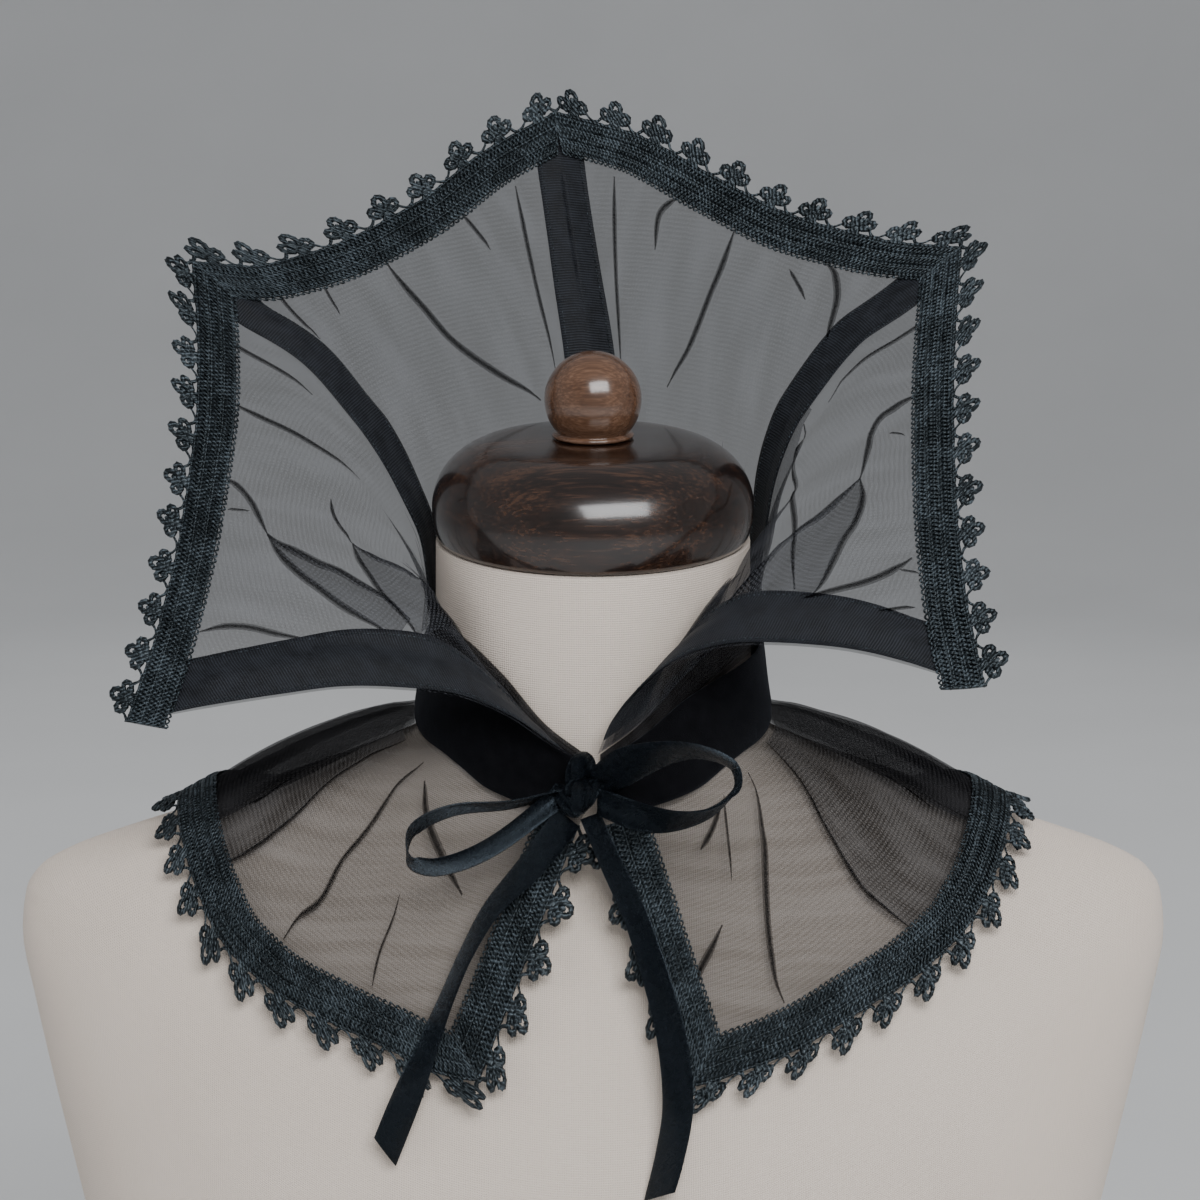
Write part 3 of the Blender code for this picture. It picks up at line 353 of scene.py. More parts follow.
STITCH_HALF = 0.17        # mm, half a stitch's width
STITCH_LOW, STITCH_HIGH = 0.1, 0.42       # mm over the ribbon
BAR_FACES = ((0, 1, 2, 3), (7, 6, 5, 4), (0, 4, 5, 1), (1, 5, 6, 2), (2, 6, 7, 3), (3, 7, 4, 0))
THREAD_FLATNESS = 0.85
THREAD_STRAY = 0.07       # mm, how far the lace's threads stray
GROUND_LIFT = 0.15        # mm, the lace's dark ground over its seat
BED_STEPS = 8             # places read for each leaf of the lace
BED_WIDTHS = 15


def unit(vectors):
    return vectors / np.maximum(np.linalg.norm(vectors, axis=-1, keepdims=True), 1e-12)


def dot(a, b):
    return (a * b).sum(axis=-1)


def shares(count):
    """Even shares from 0 to 1, both ends among them."""
    return np.linspace(0.0, 1.0, count)


def spots(*columns):
    """Points from their coordinates, a single number standing for a whole column."""
    return np.stack(np.broadcast_arrays(*columns), axis=-1)


def flat_curve(places):
    """A curve through places on a surface, read as places."""
    curve = Curve([(a, b, 0.0) for a, b in places])
    return lambda t: curve(t)[..., :2]


def upward(normals):
    """Normals turned over where they point down."""
    return normals * np.where(normals[..., 2:] < 0.0, -1.0, 1.0)


def blended(grid, i, j):
    """A grid read between its rows and columns."""
    a, b = i.astype(int), j.astype(int)
    u, v = (i - a)[..., None], (j - b)[..., None]
    return ((grid[a, b] * (1 - u) + grid[a + 1, b] * u) * (1 - v)
            + (grid[a, b + 1] * (1 - u) + grid[a + 1, b + 1] * u) * v)


class Table:
    """A column of numbers read smoothly between its rows, with no overshoot."""

    def __init__(self, keys, values):
        self.keys, self.values = np.array(keys, float), np.array(values, float)
        rises = np.diff(self.values) / np.diff(self.keys)
        before, after = rises[:-1], rises[1:]
        same = before * after > 0.0
        middle = np.where(same, 2.0 * before * after / np.where(same, before + after, 1.0), 0.0)
        self.slopes = np.concatenate(([rises[0]], middle, [rises[-1]]))

    def __call__(self, at):
        at = np.clip(at, self.keys[0], self.keys[-1])
        i = np.clip(np.searchsorted(self.keys, at, side="left") - 1, 0, len(self.keys) - 2)
        span = self.keys[i + 1] - self.keys[i]
        u = (at - self.keys[i]) / span
        return (self.values[i] * (1 + 2 * u) * (1 - u) ** 2 + self.values[i + 1] * u * u * (3 - 2 * u)
                + span * (self.slopes[i] * u * (1 - u) ** 2 - self.slopes[i + 1] * u * u * (1 - u)))


class Curve:
    """A smooth curve through points, read at a share t of its chords."""

    def __init__(self, points):
        self.points = np.array(points, float)
        last = len(self.points) - 1
        self.reach = np.concatenate(([0.0], np.cumsum(np.linalg.norm(np.diff(self.points, axis=0), axis=1))))
        low = np.maximum(np.arange(last + 1) - 1, 0)
        high = np.minimum(np.arange(last + 1) + 1, last)
        self.tangents = (self.points[high] - self.points[low]) / (self.reach[high] - self.reach[low])[:, None]

    def __call__(self, t):
        at = np.asarray(t, float) * self.reach[-1]
        i = np.clip(np.searchsorted(self.reach, at, side="left") - 1, 0, len(self.reach) - 2)
        span = self.reach[i + 1] - self.reach[i]
        u = ((at - self.reach[i]) / span)[..., None]
        span = span[..., None]
        return (self.points[i] * ((1 + 2 * u) * (1 - u) ** 2) + self.points[i + 1] * (u * u * (3 - 2 * u))
                + (self.tangents[i] * (u * (1 - u) ** 2) - self.tangents[i + 1] * (u * u * (1 - u))) * span)


FORM_TABLES = [Table([row.drop for row in FORM], [row[k] for row in FORM]) for k in (1, 2, 3, 4)]
NECK_TABLES = [Table([row.angle for row in NECK_LINES], [row[k] for row in NECK_LINES]) for k in (1, 2, 3)]
HEM_KEYS = [k / (len(CAPE_HEM) - 1) for k in range(len(CAPE_HEM))]
HEM_ANGLE, HEM_RADIUS = (Table(HEM_KEYS, column) for column in zip(*CAPE_HEM))


def form_point(angle, drop, out=0.0, neck_only=False):
    """Points of the dress form at a drop, or off it by out; the neck alone leaves out the shoulders."""
    angle, drop = np.asarray(angle, float), np.asarray(drop, float)
    read = np.minimum(drop, NECK_ROWS_TO) if neck_only else drop
    half, front, back, power = (table(read) for table in FORM_TABLES)
    across, depth = np.sin(angle), -np.cos(angle)
    reach = np.where(depth < 0.0, front, back)
    x = np.sign(across) * np.abs(across) ** (2.0 / power) * (half + out)
    y = np.sign(depth) * np.abs(depth) ** (2.0 / power) * (reach + out)
    lean = tan(NECK_TILT) * np.maximum(0.0, 1.0 - drop / TILT_FADES_BY)
    return spots(x, y, y * lean - drop)


def form_top(x, y):
    """How high the form reaches over points on plan, found by halving the drop."""
    high = np.full(np.shape(x), SHOULDER_DROPS[0])
    low = np.full(np.shape(x), SHOULDER_DROPS[1])
    for _ in range(HALVINGS):
        drop = (high + low) / 2.0
        half, front, back, power = (table(drop) for table in FORM_TABLES)
        reach = np.where(y < 0.0, front, back)
        inside = (np.abs(x) / half) ** power + (np.abs(y) / reach) ** power < 1.0
        low = np.where(inside, drop, low)
        high = np.where(inside, high, drop)
    return -low


def form_front(x, rise):
    """How far forward the form reaches at a height, as y."""
    half, front, _, power = (table(-rise) for table in FORM_TABLES)
    return -front * np.maximum(0.0, 1.0 - (np.abs(x) / half) ** power) ** (1.0 / power)


def clear_of_form(points, gap):
    """Moves points out along the form's slope until they are the gap away."""
    step = FORM_STEP
    x, y = points[..., 0], points[..., 1]
    slope_x = (form_top(x + step, y) - form_top(x - step, y)) / (2 * step)
    slope_y = (form_top(x, y + step) - form_top(x, y - step)) / (2 * step)
    normal = unit(spots(-slope_x, -slope_y, 1.0))
    short = np.maximum(0.0, gap - (points[..., 2] - form_top(x, y)) * normal[..., 2])
    return points + normal * short[..., None]


def around(column, angle_degrees):
    """A drop from a column of NECK_LINES, read at an angle from the front."""
    turned = np.abs((np.asarray(angle_degrees, float) + 180.0) % 360.0 - 180.0)
    return NECK_TABLES[column - 1](turned)


def neckline(angle_degrees):
    """The line on the neck where the panels' seam runs."""
    return form_point(np.radians(angle_degrees), around(1, angle_degrees), PANEL_OUT, neck_only=True)


def facing(surface, s, t, step=0.01):
    """Unit normals of a surface, on the side that the standing collar turns to the neck."""
    a, b = np.maximum(s - step, -0.2), np.minimum(s + step, 1.2)
    c, d = np.maximum(t - step, -0.2), np.minimum(t + step, 1.2)
    return unit(np.cross(surface(b, t) - surface(a, t), surface(s, d) - surface(s, c)))


def fold_share(fold, s, t):
    """How strongly a soft fold acts at a place of its panel."""
    along = np.array(((fold.s1 - fold.s0) * PANEL_SPAN[0], (fold.t1 - fold.t0) * PANEL_SPAN[1]))
    place = spots((s - fold.s0) * PANEL_SPAN[0], (t - fold.t0) * PANEL_SPAN[1])
    share = np.clip(place @ along / (along @ along), 0.0, 1.0)
    off = np.linalg.norm(place - share[..., None] * along, axis=-1)
    fade = np.maximum(0.0, 1.0 - (2.0 * share - 1.0) ** 4)
    edge = np.minimum.reduce([np.ones_like(off), 6.0 * t, 7.0 * (FOLDS_END - t), 8.0 * s, 8.0 * (1.0 - s)])
    return np.exp(-(off / fold.width) ** 2) * fade * np.maximum(0.0, edge)


def panel_surface(panel):
    """The inner face of one sheer panel, as a function of s along and t up, both 0 to 1."""
    start, end = Curve(BONES[panel.start]), Curve(BONES[panel.end])
    corner_a, corner_b = start(1.0), end(1.0)
    low_a, low_b = start(0.0), end(0.0)
    shift_a = low_a - neckline(panel.start_angle)
    shift_b = low_b - neckline(panel.end_angle)
    spans = len(panel.dips) - 1
    dips = Table([k / spans for k in range(spans + 1)], panel.dips)
    first_slope = (panel.dips[1] - panel.dips[0]) * spans
    last_slope = (panel.dips[-1] - panel.dips[-2]) * spans

    def flat(s, t):
        s, t = np.broadcast_arrays(s, t)
        su, tu = s[..., None], t[..., None]
        low = (neckline(panel.start_angle + (panel.end_angle - panel.start_angle) * s)
               + shift_a * (1 - su) + shift_b * su)
        inside = np.clip(s, 0.0, 1.0)
        dip = dips(inside) + np.where(s < 0.5, first_slope, last_slope) * (s - inside)
        high = corner_a + (corner_b - corner_a) * su + np.array(panel.dip_way) * dip[..., None]
        ruled = low * (1 - tu) + high * tu + start(t) * (1 - su) + end(t) * su
        corners = (low_a * (1 - su) + low_b * su) * (1 - tu) + (corner_a * (1 - su) + corner_b * su) * tu
        return ruled - corners

    def point(s, t):
        s, t = np.broadcast_arrays(s, t)
        height = sum(fold.depth * fold_share(fold, s, t) for fold in PANEL_FOLDS[panel.name])
        return flat(s, t) + facing(flat, s, t) * height[..., None]

    return point


def cape_surface(s, t):
    """The cape's inner face: s from the left front round the back, t down to the hem."""
    s, t = np.broadcast_arrays(s, t)
    first, last = -1.5 * FRONT_SLIT, -360.0 + 1.5 * FRONT_SLIT
    angle = first + (last - first) * s
    seam = form_point(np.radians(angle), around(3, angle) + CAPE_BELOW_BAND, CAPE_OUT, neck_only=True)
    turn, radius = np.radians(HEM_ANGLE(s)), HEM_RADIUS(s)
    hem_x, hem_y = radius * np.sin(turn), -radius * np.cos(turn)
    hem = spots(hem_x, hem_y, form_top(hem_x, hem_y) + CAPE_LIFT)
    low = seam + (hem - seam) * t[..., None]
    lift = sum(p.height * np.exp(-((s - p.at) / p.width) ** 2) for p in CAPE_PLEATS)
    turned = np.abs((angle + 180.0) % 360.0 - 180.0)
    puff = CAPE_PUFF * np.clip((turned - PUFF_FROM) / (PUFF_FULL_BY - PUFF_FROM), 0.0, 1.0)
    low[..., 2] += (lift * np.minimum(1.0, 1.6 * t) * (1.0 - t * t)
                    + puff * 4.0 * t * (1.0 - t) * np.minimum(1.0, 5.0 * t))
    return clear_of_form(low, np.minimum(CAPE_LIFT, CAPE_SEAM_CLEAR + 3.0 * t))


def slopes(surface, s, t):
    """How a surface runs along s and along t, measured inside its edges."""
    step = SLOPE_STEP
    s, t = np.clip(s, step, 1.0 - step), np.clip(t, step, 1.0 - step)
    return ((surface(s + step, t) - surface(s - step, t)) / (2 * step),
            (surface(s, t + step) - surface(s, t - step)) / (2 * step))


class Edge:
    """One edge of a surface, measured out evenly, with its outward way and its normal."""

    def __init__(self, surface, start, end, inward):
        self.surface, self.start, self.end, self.inward = surface, start, end, inward
        self.q = shares(61)
        steps = np.linalg.norm(np.diff(self.read(self.q), axis=0), axis=1)
        self.reach = np.concatenate(([0.0], np.cumsum(steps)))
        self.length = self.reach[-1]

    def path(self, q):
        """The places s, t at shares q of the way from the edge's start to its end."""
        return [a + (b - a) * q for a, b in zip(self.start, self.end)]

    def read(self, q):
        return self.surface(*self.path(q))

    def place(self, distance, width, lift):
        """Points at a distance along, a width outward (inward if negative) and a lift off the face."""
        within = np.clip(distance, 0.0, self.length)
        q = np.interp(within, self.reach, self.q)
        s, t = self.path(q)
        along_s, along_t = slopes(self.surface, s, t)
        normal = unit(np.cross(along_s, along_t))
        middle = np.clip(q, SLOPE_STEP, 1.0 - SLOPE_STEP)
        ahead = unit(self.read(middle + SLOPE_STEP) - self.read(middle - SLOPE_STEP))
        here = self.read(q) + ahead * (distance - within)[..., None]
        outward = unit(np.cross(ahead, normal))
        inside = self.surface(s + self.inward[0], t + self.inward[1])
        way = dot(outward, self.read(q) - inside)
        outward = outward * np.where(way < 0.0, -1.0, 1.0)[..., None]
        out = here + outward * np.maximum(width, 0.0)[..., None] + normal * lift
        inward = np.minimum(width, 0.0)
        for _ in range(INWARD_STEPS):
            along_s, along_t = slopes(self.surface, s, t)
            ss, st, tt = dot(along_s, along_s), dot(along_s, along_t), dot(along_t, along_t)
            rs = dot(along_s, outward) * inward / INWARD_STEPS
            rt = dot(along_t, outward) * inward / INWARD_STEPS
            flat = ss * tt - st * st
            s, t = s + (rs * tt - rt * st) / flat, t + (rt * ss - rs * st) / flat
        inner = self.surface(s, t) + normal * lift
        return np.where((width >= 0.0)[..., None], out, inner)


def to_metres(points):
    moved = np.array(points, float)
    moved[..., 2] += NECK_TOP
    return moved * MM


class Shape:
    """Vertices and faces gathered into one piece, with flat coordinates for its weave."""

    def __init__(self):
        self.points, self.flats, self.faces, self.looks = [], [], [], []
        self.count = 0

    def add(self, points, faces, flat=None, look=0):
        points = np.asarray(points, float).reshape(-1, 3)
        flat = points if flat is None else np.asarray(flat, float).reshape(-1, 3)
        self.points.append(points)
        self.flats.append(flat)
        self.faces += (np.asarray(faces) + self.count).tolist()
        self.looks += [look] * len(faces)
        self.count += len(points)

    def add_grid(self, grid, look=0, wrap=False):
        self.add(grid, grid_faces(*grid.shape[:2], wrap), flat_of(grid), look)

    def make(self, name, looks):
        mesh = bpy.data.meshes.new(name)
        mesh.from_pydata(to_metres(np.concatenate(self.points)).tolist(), [], self.faces)
        for look in looks:
            mesh.materials.append(look)
        mesh.polygons.foreach_set("use_smooth", [True] * len(mesh.polygons))
        mesh.polygons.foreach_set("material_index", self.looks)
        flat = mesh.attributes.new("flat", "FLOAT_VECTOR", "POINT")
        flat.data.foreach_set("vector", np.concatenate(self.flats).ravel())
        mesh.update()
        made = bpy.data.objects.new(name + "_fine", mesh)
        bpy.context.scene.collection.objects.link(made)
        return made


def grid_faces(rows, columns, wrap=False):
    """Quads between the rows of a grid; wrap joins its last column to its first."""
    i, j = np.meshgrid(np.arange(rows - 1), np.arange(columns if wrap else columns - 1), indexing="ij")
    k = (j + 1) % columns
    low, high = i * columns, (i + 1) * columns
    return spots(low + j, low + k, high + k, high + j).reshape(-1, 4)


def flat_of(grid):
    """Flat coordinates of a grid's points in mm: lengths along its rows and down its columns."""
    across = np.linalg.norm(np.diff(grid, axis=1), axis=-1)
    down = np.linalg.norm(np.diff(grid, axis=0), axis=-1)
    u = np.concatenate([np.zeros((grid.shape[0], 1)), np.cumsum(across, axis=1)], axis=1)
    v = np.concatenate([np.zeros((1, grid.shape[1])), np.cumsum(down, axis=0)], axis=0)
    return spots(u - u.mean(axis=1, keepdims=True), v, 0.0)


def normals_of(grid):
    """Unit normals at the points of a grid."""
    return unit(np.cross(np.gradient(grid, axis=1), np.gradient(grid, axis=0)))


def add_slab(shape, grid, thickness):
    """A cloth with thickness, closed all round and rounded off along its two long edges."""
    rows, columns = grid.shape[:2]
    profile = np.sqrt(np.maximum(1.0 - np.abs(np.linspace(-1.0, 1.0, columns)) ** 6, 0.05))
    half = normals_of(grid) * ((thickness / 2.0) * profile[None, :, None])
    flat = flat_of(grid)
    ring = np.concatenate([grid + half, (grid - half)[:, ::-1]], axis=1)
    faces = grid_faces(rows, 2 * columns, wrap=True).tolist()
    for row, order in ((0, -1), (rows - 1, 1)):
        first = row * 2 * columns
        last = first + 2 * columns - 1
        faces += [(first + k, first + k + 1, last - 1 - k, last - k)[::order] for k in range(columns - 1)]
    shape.add(ring, faces, np.concatenate([flat, flat[:, ::-1]], axis=1))


def crease_height(creases, s, t, span):
    """Height that the creases give a cloth at s, t, ridges fading out at their ends."""
    height = np.zeros(np.broadcast(s, t).shape)
    for crease in creases:
        line = crease.line * span
        steps = np.diff(line, axis=0)
        lengths = np.linalg.norm(steps, axis=1)
        starts = np.concatenate(([0.0], np.cumsum(lengths)[:-1]))
        total = lengths.sum()
        best = np.full(height.shape, 1e9)
        along = np.zeros(height.shape)
        for origin, step, length, start in zip(line, steps, lengths, starts):
            x, y = s * span[0] - origin[0], t * span[1] - origin[1]
            share = np.clip((x * step[0] + y * step[1]) / length ** 2, 0.0, 1.0)
            off = np.hypot(x - share * step[0], y - share * step[1])
            nearer = off < best
            best = np.where(nearer, off, best)
            along = np.where(nearer, (start + share * length) / total, along)
        fade = np.clip(6.0 * along, 0.35, 1.0) * np.clip(5.0 * (1.0 - along), 0.25, 1.0)
        height = np.maximum(height, crease.height * fade * np.exp(-(best / CREASE_WIDTH)))
    return height


def add_raised(shape, surface, s, t, lift, look=0, step=0.01, turn=None):
    """Cloth over the places s, t of a surface, a lift off it, along its normals or these turned."""
    normal = facing(surface, s, t, step)
    shape.add_grid(surface(s, t) + (turn(normal) if turn else normal) * lift, look)


def add_crease_line(shape, surface, crease, span, widths, turn=None):
    """Painted crease shade: strips of near-black organza laid one on another along a crease, so that it
    darkens towards the line.
    """
    span, steps = np.array(span), CREASE_STEPS
    path = flat_curve(crease.line)(shares(steps))
    ahead = unit(np.gradient(path * span, axis=0))
    side = spots(-ahead[:, 1], ahead[:, 0]) / span
    ends = np.minimum(np.arange(steps) / 5.0, np.arange(steps)[::-1] / 8.0)
    taper = (np.clip(ends, 0.1, 1.0) ** 0.6)[:, None, None]
    short = min(1.0, 0.3 + length_of(path * span) / MM / 50.0) * (0.45 + 0.4 * crease.height)
    for layer, width in enumerate(widths):
        width *= short
        across = np.linspace(-width / 2.0, width / 2.0, 5)[None, :, None]
        place = path[:, None] + side[:, None] * across * taper
        lift = LINE_LIFT + LINE_GAP * layer
        add_raised(shape, surface, place[..., 0], place[..., 1], lift, 1, FOLD_STEP, turn)


def add_gathers(shape, surface, span, places, count):
    """Small folds that rise from the neck seam and fade out, between two places along it, as raised strips of
    the near-black organza that paints their shade.
    """
    for at in np.linspace(places[0], places[1], count):
        foot, drift = at + DRAWS.uniform(-0.015, 0.015), DRAWS.uniform(-0.03, 0.03)
        top, width = DRAWS.uniform(0.10, 0.34), DRAWS.uniform(2.2, 4.4)
        t = np.linspace(0.0, top, 14)[:, None]
        fade = (1.0 - t / top) ** 0.8 * 0.5 * width / span[0]
        s = foot + drift * (t / top) + fade * np.linspace(-1.0, 1.0, 5)[None, :]
        add_raised(shape, surface, s, t, DRAWS.uniform(0.3, 0.7), 1, FOLD_STEP)


def add_flap(shape, surface, flap):
    """Where the cloth lies doubled between two creases: more layers of it."""
    upper, lower = (flat_curve(edge)(shares(30))[:, None] for edge in (flap.upper, flap.lower))
    for layer in range(flap.layers):
        v = np.linspace(0.05 * layer, 1.0 - 0.07 * layer, 8)[None, :, None]
        place = upper * (1 - v) + lower * v
        add_raised(shape, surface, place[..., 0], place[..., 1], FLAP_GAP * (layer + 1))


def tube(path, radius, sides=4, closed=False, rope=0.0):
    """A thread along a path in the lace's flat coordinates, lumpy by rope where it is overcast."""
    if closed:
        ahead = np.roll(path, -1, axis=0) - np.roll(path, 1, axis=0)
    else:
        ahead = np.gradient(path, axis=0)
    side = unit(spots(-ahead[:, 1], ahead[:, 0], 0.0))
    turn = 2.0 * pi * np.arange(sides) / sides
    girth = (radius * (1.0 + rope * np.where(np.arange(len(path)) % 2 == 0, 1.0, -1.0)))[:, None, None]
    ring = (path[:, None] + side[:, None] * girth * np.cos(turn)[None, :, None]
            + np.array((0.0, 0.0, THREAD_FLATNESS)) * girth * np.sin(turn)[None, :, None])
    if closed:
        ring = np.concatenate([ring, ring[:1]], axis=0)
    faces = grid_faces(len(ring), sides, wrap=True)
    return ring.reshape(-1, 3), faces


def oval(centre, radii, steps, height=0.6, tilt=0.0):
    """A loop of thread about a centre, turned by a tilt."""
    turn = 2.0 * pi * np.arange(steps) / steps
    x = radii[0] * np.sin(turn) * (1.0 - 0.14 * np.cos(turn - pi))
    y = radii[1] * np.cos(turn)
    return spots(centre[0] + x * cos(tilt) + y * sin(tilt), centre[1] - x * sin(tilt) + y * cos(tilt), height)


def dome(centre, radii, steps, low, high, tilt=0.0):
    """A low pad that fills an oval of thread."""
    rim = oval(centre, radii, steps, low, tilt)
    points = np.concatenate([rim, [(centre[0], centre[1], high)]])
    return points, [(k, (k + 1) % steps, steps) for k in range(steps)]


def straight(start, end, steps, height):
    """A line of points between two places."""
    share = shares(steps)
    return spots(*(a * (1.0 - share) + b * share for a, b in zip(start, end)), height)


def lace_motif():
    """Threads of one repeat of the lace: its woven band, then a leaf of three lobes."""
    threads = []
    middle, crossings, arch = LACE_REPEAT / 2.0, 5, shares(5)

    def thread(path, radius, look=0, **form):
        threads.append((tube(path, radius, **form), look))

    def pad(*form):
        threads.append((dome(*form), 1))

    for across, radius in ((-LACE_BAND + 0.9, 0.5), (-8.95, 0.62), (-4.65, 0.62), (-0.35, 0.6)):
        thread(straight((0.0, across), (LACE_REPEAT, across), 13, 0.6), radius, rope=0.16)
    for row, across in enumerate((-11.0, -6.8, -2.5)):
        a = np.linspace(0.0, LACE_REPEAT, 8 * crossings + 1)
        phase = 2.0 * pi * crossings * a / LACE_REPEAT + row
        for way in (1.0, -1.0):
            thread(spots(a, across + way * 1.55 * np.sin(phase), 0.65 + way * 0.34 * np.cos(phase)), 0.58)
        if row < 2:
            thread(straight((0.0, across), (LACE_REPEAT, across), 6, 0.4), 0.42, 1)
    a = np.linspace(0.0, LACE_REPEAT, 36)
    thread(spots(a, -LACE_BAND + 0.45 - 1.0 * np.abs(np.sin(pi * 7 * a / LACE_REPEAT)), 0.45), 0.36)
    tip = (middle, 5.75)
    thread(oval(tip, (1.75, 2.7), 22, 0.7), 0.98, sides=6, closed=True, rope=0.12)
    pad((tip[0], tip[1] - 0.7), (0.95, 1.5), 8, 0.4, 1.1)
    for way in (-1.0, 1.0):
        lobe, tilt = (middle + way * 3.15, 3.5), way * radians(58.0)
        thread(oval(lobe, (1.5, 2.15), 18, 0.6, tilt), 0.95, sides=6, closed=True, rope=0.12)
        pad((lobe[0] - way * 0.5, lobe[1] - 0.3), (0.8, 1.2), 8, 0.3, 1.0, tilt)
        thread(straight((middle + way * 2.2, -0.7), (middle + way * 1.2, 1.6), 4, 0.6), 0.7)
    pad((middle, 1.6), (2.3, 2.0), 10, 0.2, 1.5)
    for way in (0.0, 1.0):
        a = way * LACE_REPEAT + (1.0 - 2.0 * way) * 3.3 * arch
        thread(spots(a, 0.2 + 2.4 * arch ** 2, 0.55), 0.5)
    return threads


LACE_MOTIF = lace_motif()


class LaceBed:
    """Where a length of lace lies: its flat places turned into points."""

    low, high = -LACE_BAND - 1.2, 10.8        # mm, how far in and out of the edge it reaches

    def __init__(self, edge, mitres, lift, guard):
        self.count = max(2, round(edge.length / LACE_REPEAT))
        half = LACE_PARTING / 2.0
        width = np.linspace(self.low, self.high, BED_WIDTHS)
        width, share = np.meshgrid(width, shares(self.count * BED_STEPS + 1))
        start = -width * mitres[0] + half
        end = edge.length + width * mitres[1] - half
        distance = start + (end - start) * share
        self.points = edge.place(distance, width, lift)
        self.normals = unit(edge.place(distance, width, lift + 1.0) - self.points)
        self.points = guard(self.points)

    def __call__(self, flat):
        """Flat points, with along counted in millimetres of repeats, as points in space."""
        a = np.clip(flat[:, 0] / LACE_REPEAT * BED_STEPS, 0.0, self.count * BED_STEPS - 1e-6)
        w = np.clip((flat[:, 1] - self.low) / (self.high - self.low), 0.0, 1.0 - 1e-9) * (BED_WIDTHS - 1)
        return blended(self.points, a, w) + unit(blended(self.normals, a, w)) * flat[:, 2:3]


def make_lace(name, bed):
    """A length of lace: the repeats with each leaf leaning its own way, and a cord at each cut end."""
    shape = Shape()
    for k in range(bed.count):
        lean, curl, size = DRAWS.uniform(-0.12, 0.12), DRAWS.uniform(-0.9, 1.1), DRAWS.uniform(0.94, 1.03)
        for (points, faces), look in LACE_MOTIF:
            flat = np.array(points)
            leaf = np.maximum(flat[:, 1], 0.0)
            flat += DRAWS.normal(0.0, THREAD_STRAY, flat.shape)
            flat[:, 0] += lean * leaf + k * LACE_REPEAT
            flat[:, 1] += leaf * (size - 1.0)
            flat[:, 2] += curl * (leaf / 9.0) ** 2
            shape.add(bed(flat), faces, flat, look)
    length = bed.count * LACE_REPEAT
    along = np.linspace(0.0, length, bed.count * BED_STEPS + 1)[:, None]
    ground = spots(along, np.linspace(0.6 - LACE_BAND, -0.3, 12), GROUND_LIFT)
    shape.add(bed(ground.reshape(-1, 3)), grid_faces(*ground.shape[:2]), ground, 2)
    for end in (0.35, length - 0.35):
        points, faces = tube(straight((end, -LACE_BAND - 0.4), (end, 0.3), 12, 0.6), 0.7, 6)
        shape.add(bed(points), faces, points)
    return dress(shape.make(name, [THREAD, THREAD_FILL, GROUND]), "black_lace", name)


class Look:
    """A material whose nodes are added one by one."""

    def __init__(self, name, roughness, **sockets):
        self.material = bpy.data.materials.new(name)
        self.material.use_nodes = True
        self.nodes, self.links = self.material.node_tree.nodes, self.material.node_tree.links
        self.shader = self.nodes["Principled BSDF"]
        self.set(self.shader, Roughness=roughness, **sockets)

    def set(self, node, **settings):
        """Gives a node's sockets and settings their values, or joins a socket to another node's output."""
        for setting, value in settings.items():
            socket = setting.replace("_", " ")
            if socket not in node.inputs:
                setattr(node, setting, value)
            elif isinstance(value, bpy.types.NodeSocket):
                self.links.new(value, node.inputs[socket])
            else:
                node.inputs[socket].default_value = value

    def add(self, kind, output, **settings):
        """A new node with its settings, given as the output that is used."""
        made = self.nodes.new("ShaderNode" + kind)
        self.set(made, **settings)
        return made.outputs[output]

    def place(self, cloth, stretch=(1.0, 1.0, 1.0)):
        """Coordinates in millimetres: the cloth's own flat ones, or the object's."""
        if cloth:
            source, scale = self.add("Attribute", "Vector", attribute_name="flat"), stretch
        else:
            source, scale = self.add("TexCoord", "Object"), tuple(k / MM for k in stretch)
        return self.add("Mapping", "Vector", Vector=source, Scale=scale)

    def bands(self, place, pitch, direction, distortion=0.0):
        """Even threads across a direction, a pitch in millimetres apart."""
        return self.add("TexWave", "Fac", wave_type="BANDS", bands_direction=direction, wave_profile="SIN",
                        Vector=place, Scale=pi / (10.0 * pitch), Distortion=distortion)

    def noise(self, place, size, detail=3.0, rough=0.55):
        return self.add("TexNoise", "Fac", Vector=place, Scale=1.0 / size, Detail=detail, Roughness=rough)

    def joined(self, first, second, operation="ADD"):
        made = self.nodes.new("ShaderNodeMath")
        made.operation = operation
        self.links.new(first, made.inputs[0])
        self.links.new(second, made.inputs[1])
        return made.outputs[0]

    def colour(self, source, *stops):
        """The base colour along a value, from the first stop's to the last's, as (value, colour)."""
        first, last = stops[0][0], stops[-1][0]
        share = self.add("MapRange", "Result", Value=source, From_Min=first, From_Max=last)
        made = self.nodes.new("ShaderNodeValToRGB")
        elements = made.color_ramp.elements
        while len(elements) < len(stops):
            elements.new(0.5)
        for element, (value, colour) in zip(elements, stops):
            element.position = (value - first) / (last - first)
            element.color = (*colour, 1.0)
        self.set(made, Fac=share)
        self.set(self.shader, Base_Color=made.outputs["Color"])

    def rough(self, source, low, high):
        self.set(self.shader, Roughness=self.add("MapRange", "Result", Value=source, To_Min=low, To_Max=high))

    def bump(self, source, depth, strength=1.0):
        """Relief of a depth in millimetres."""
        self.set(self.shader, Normal=self.add("Bump", "Normal", Height=source, Strength=strength,
                                              Distance=depth * MM))


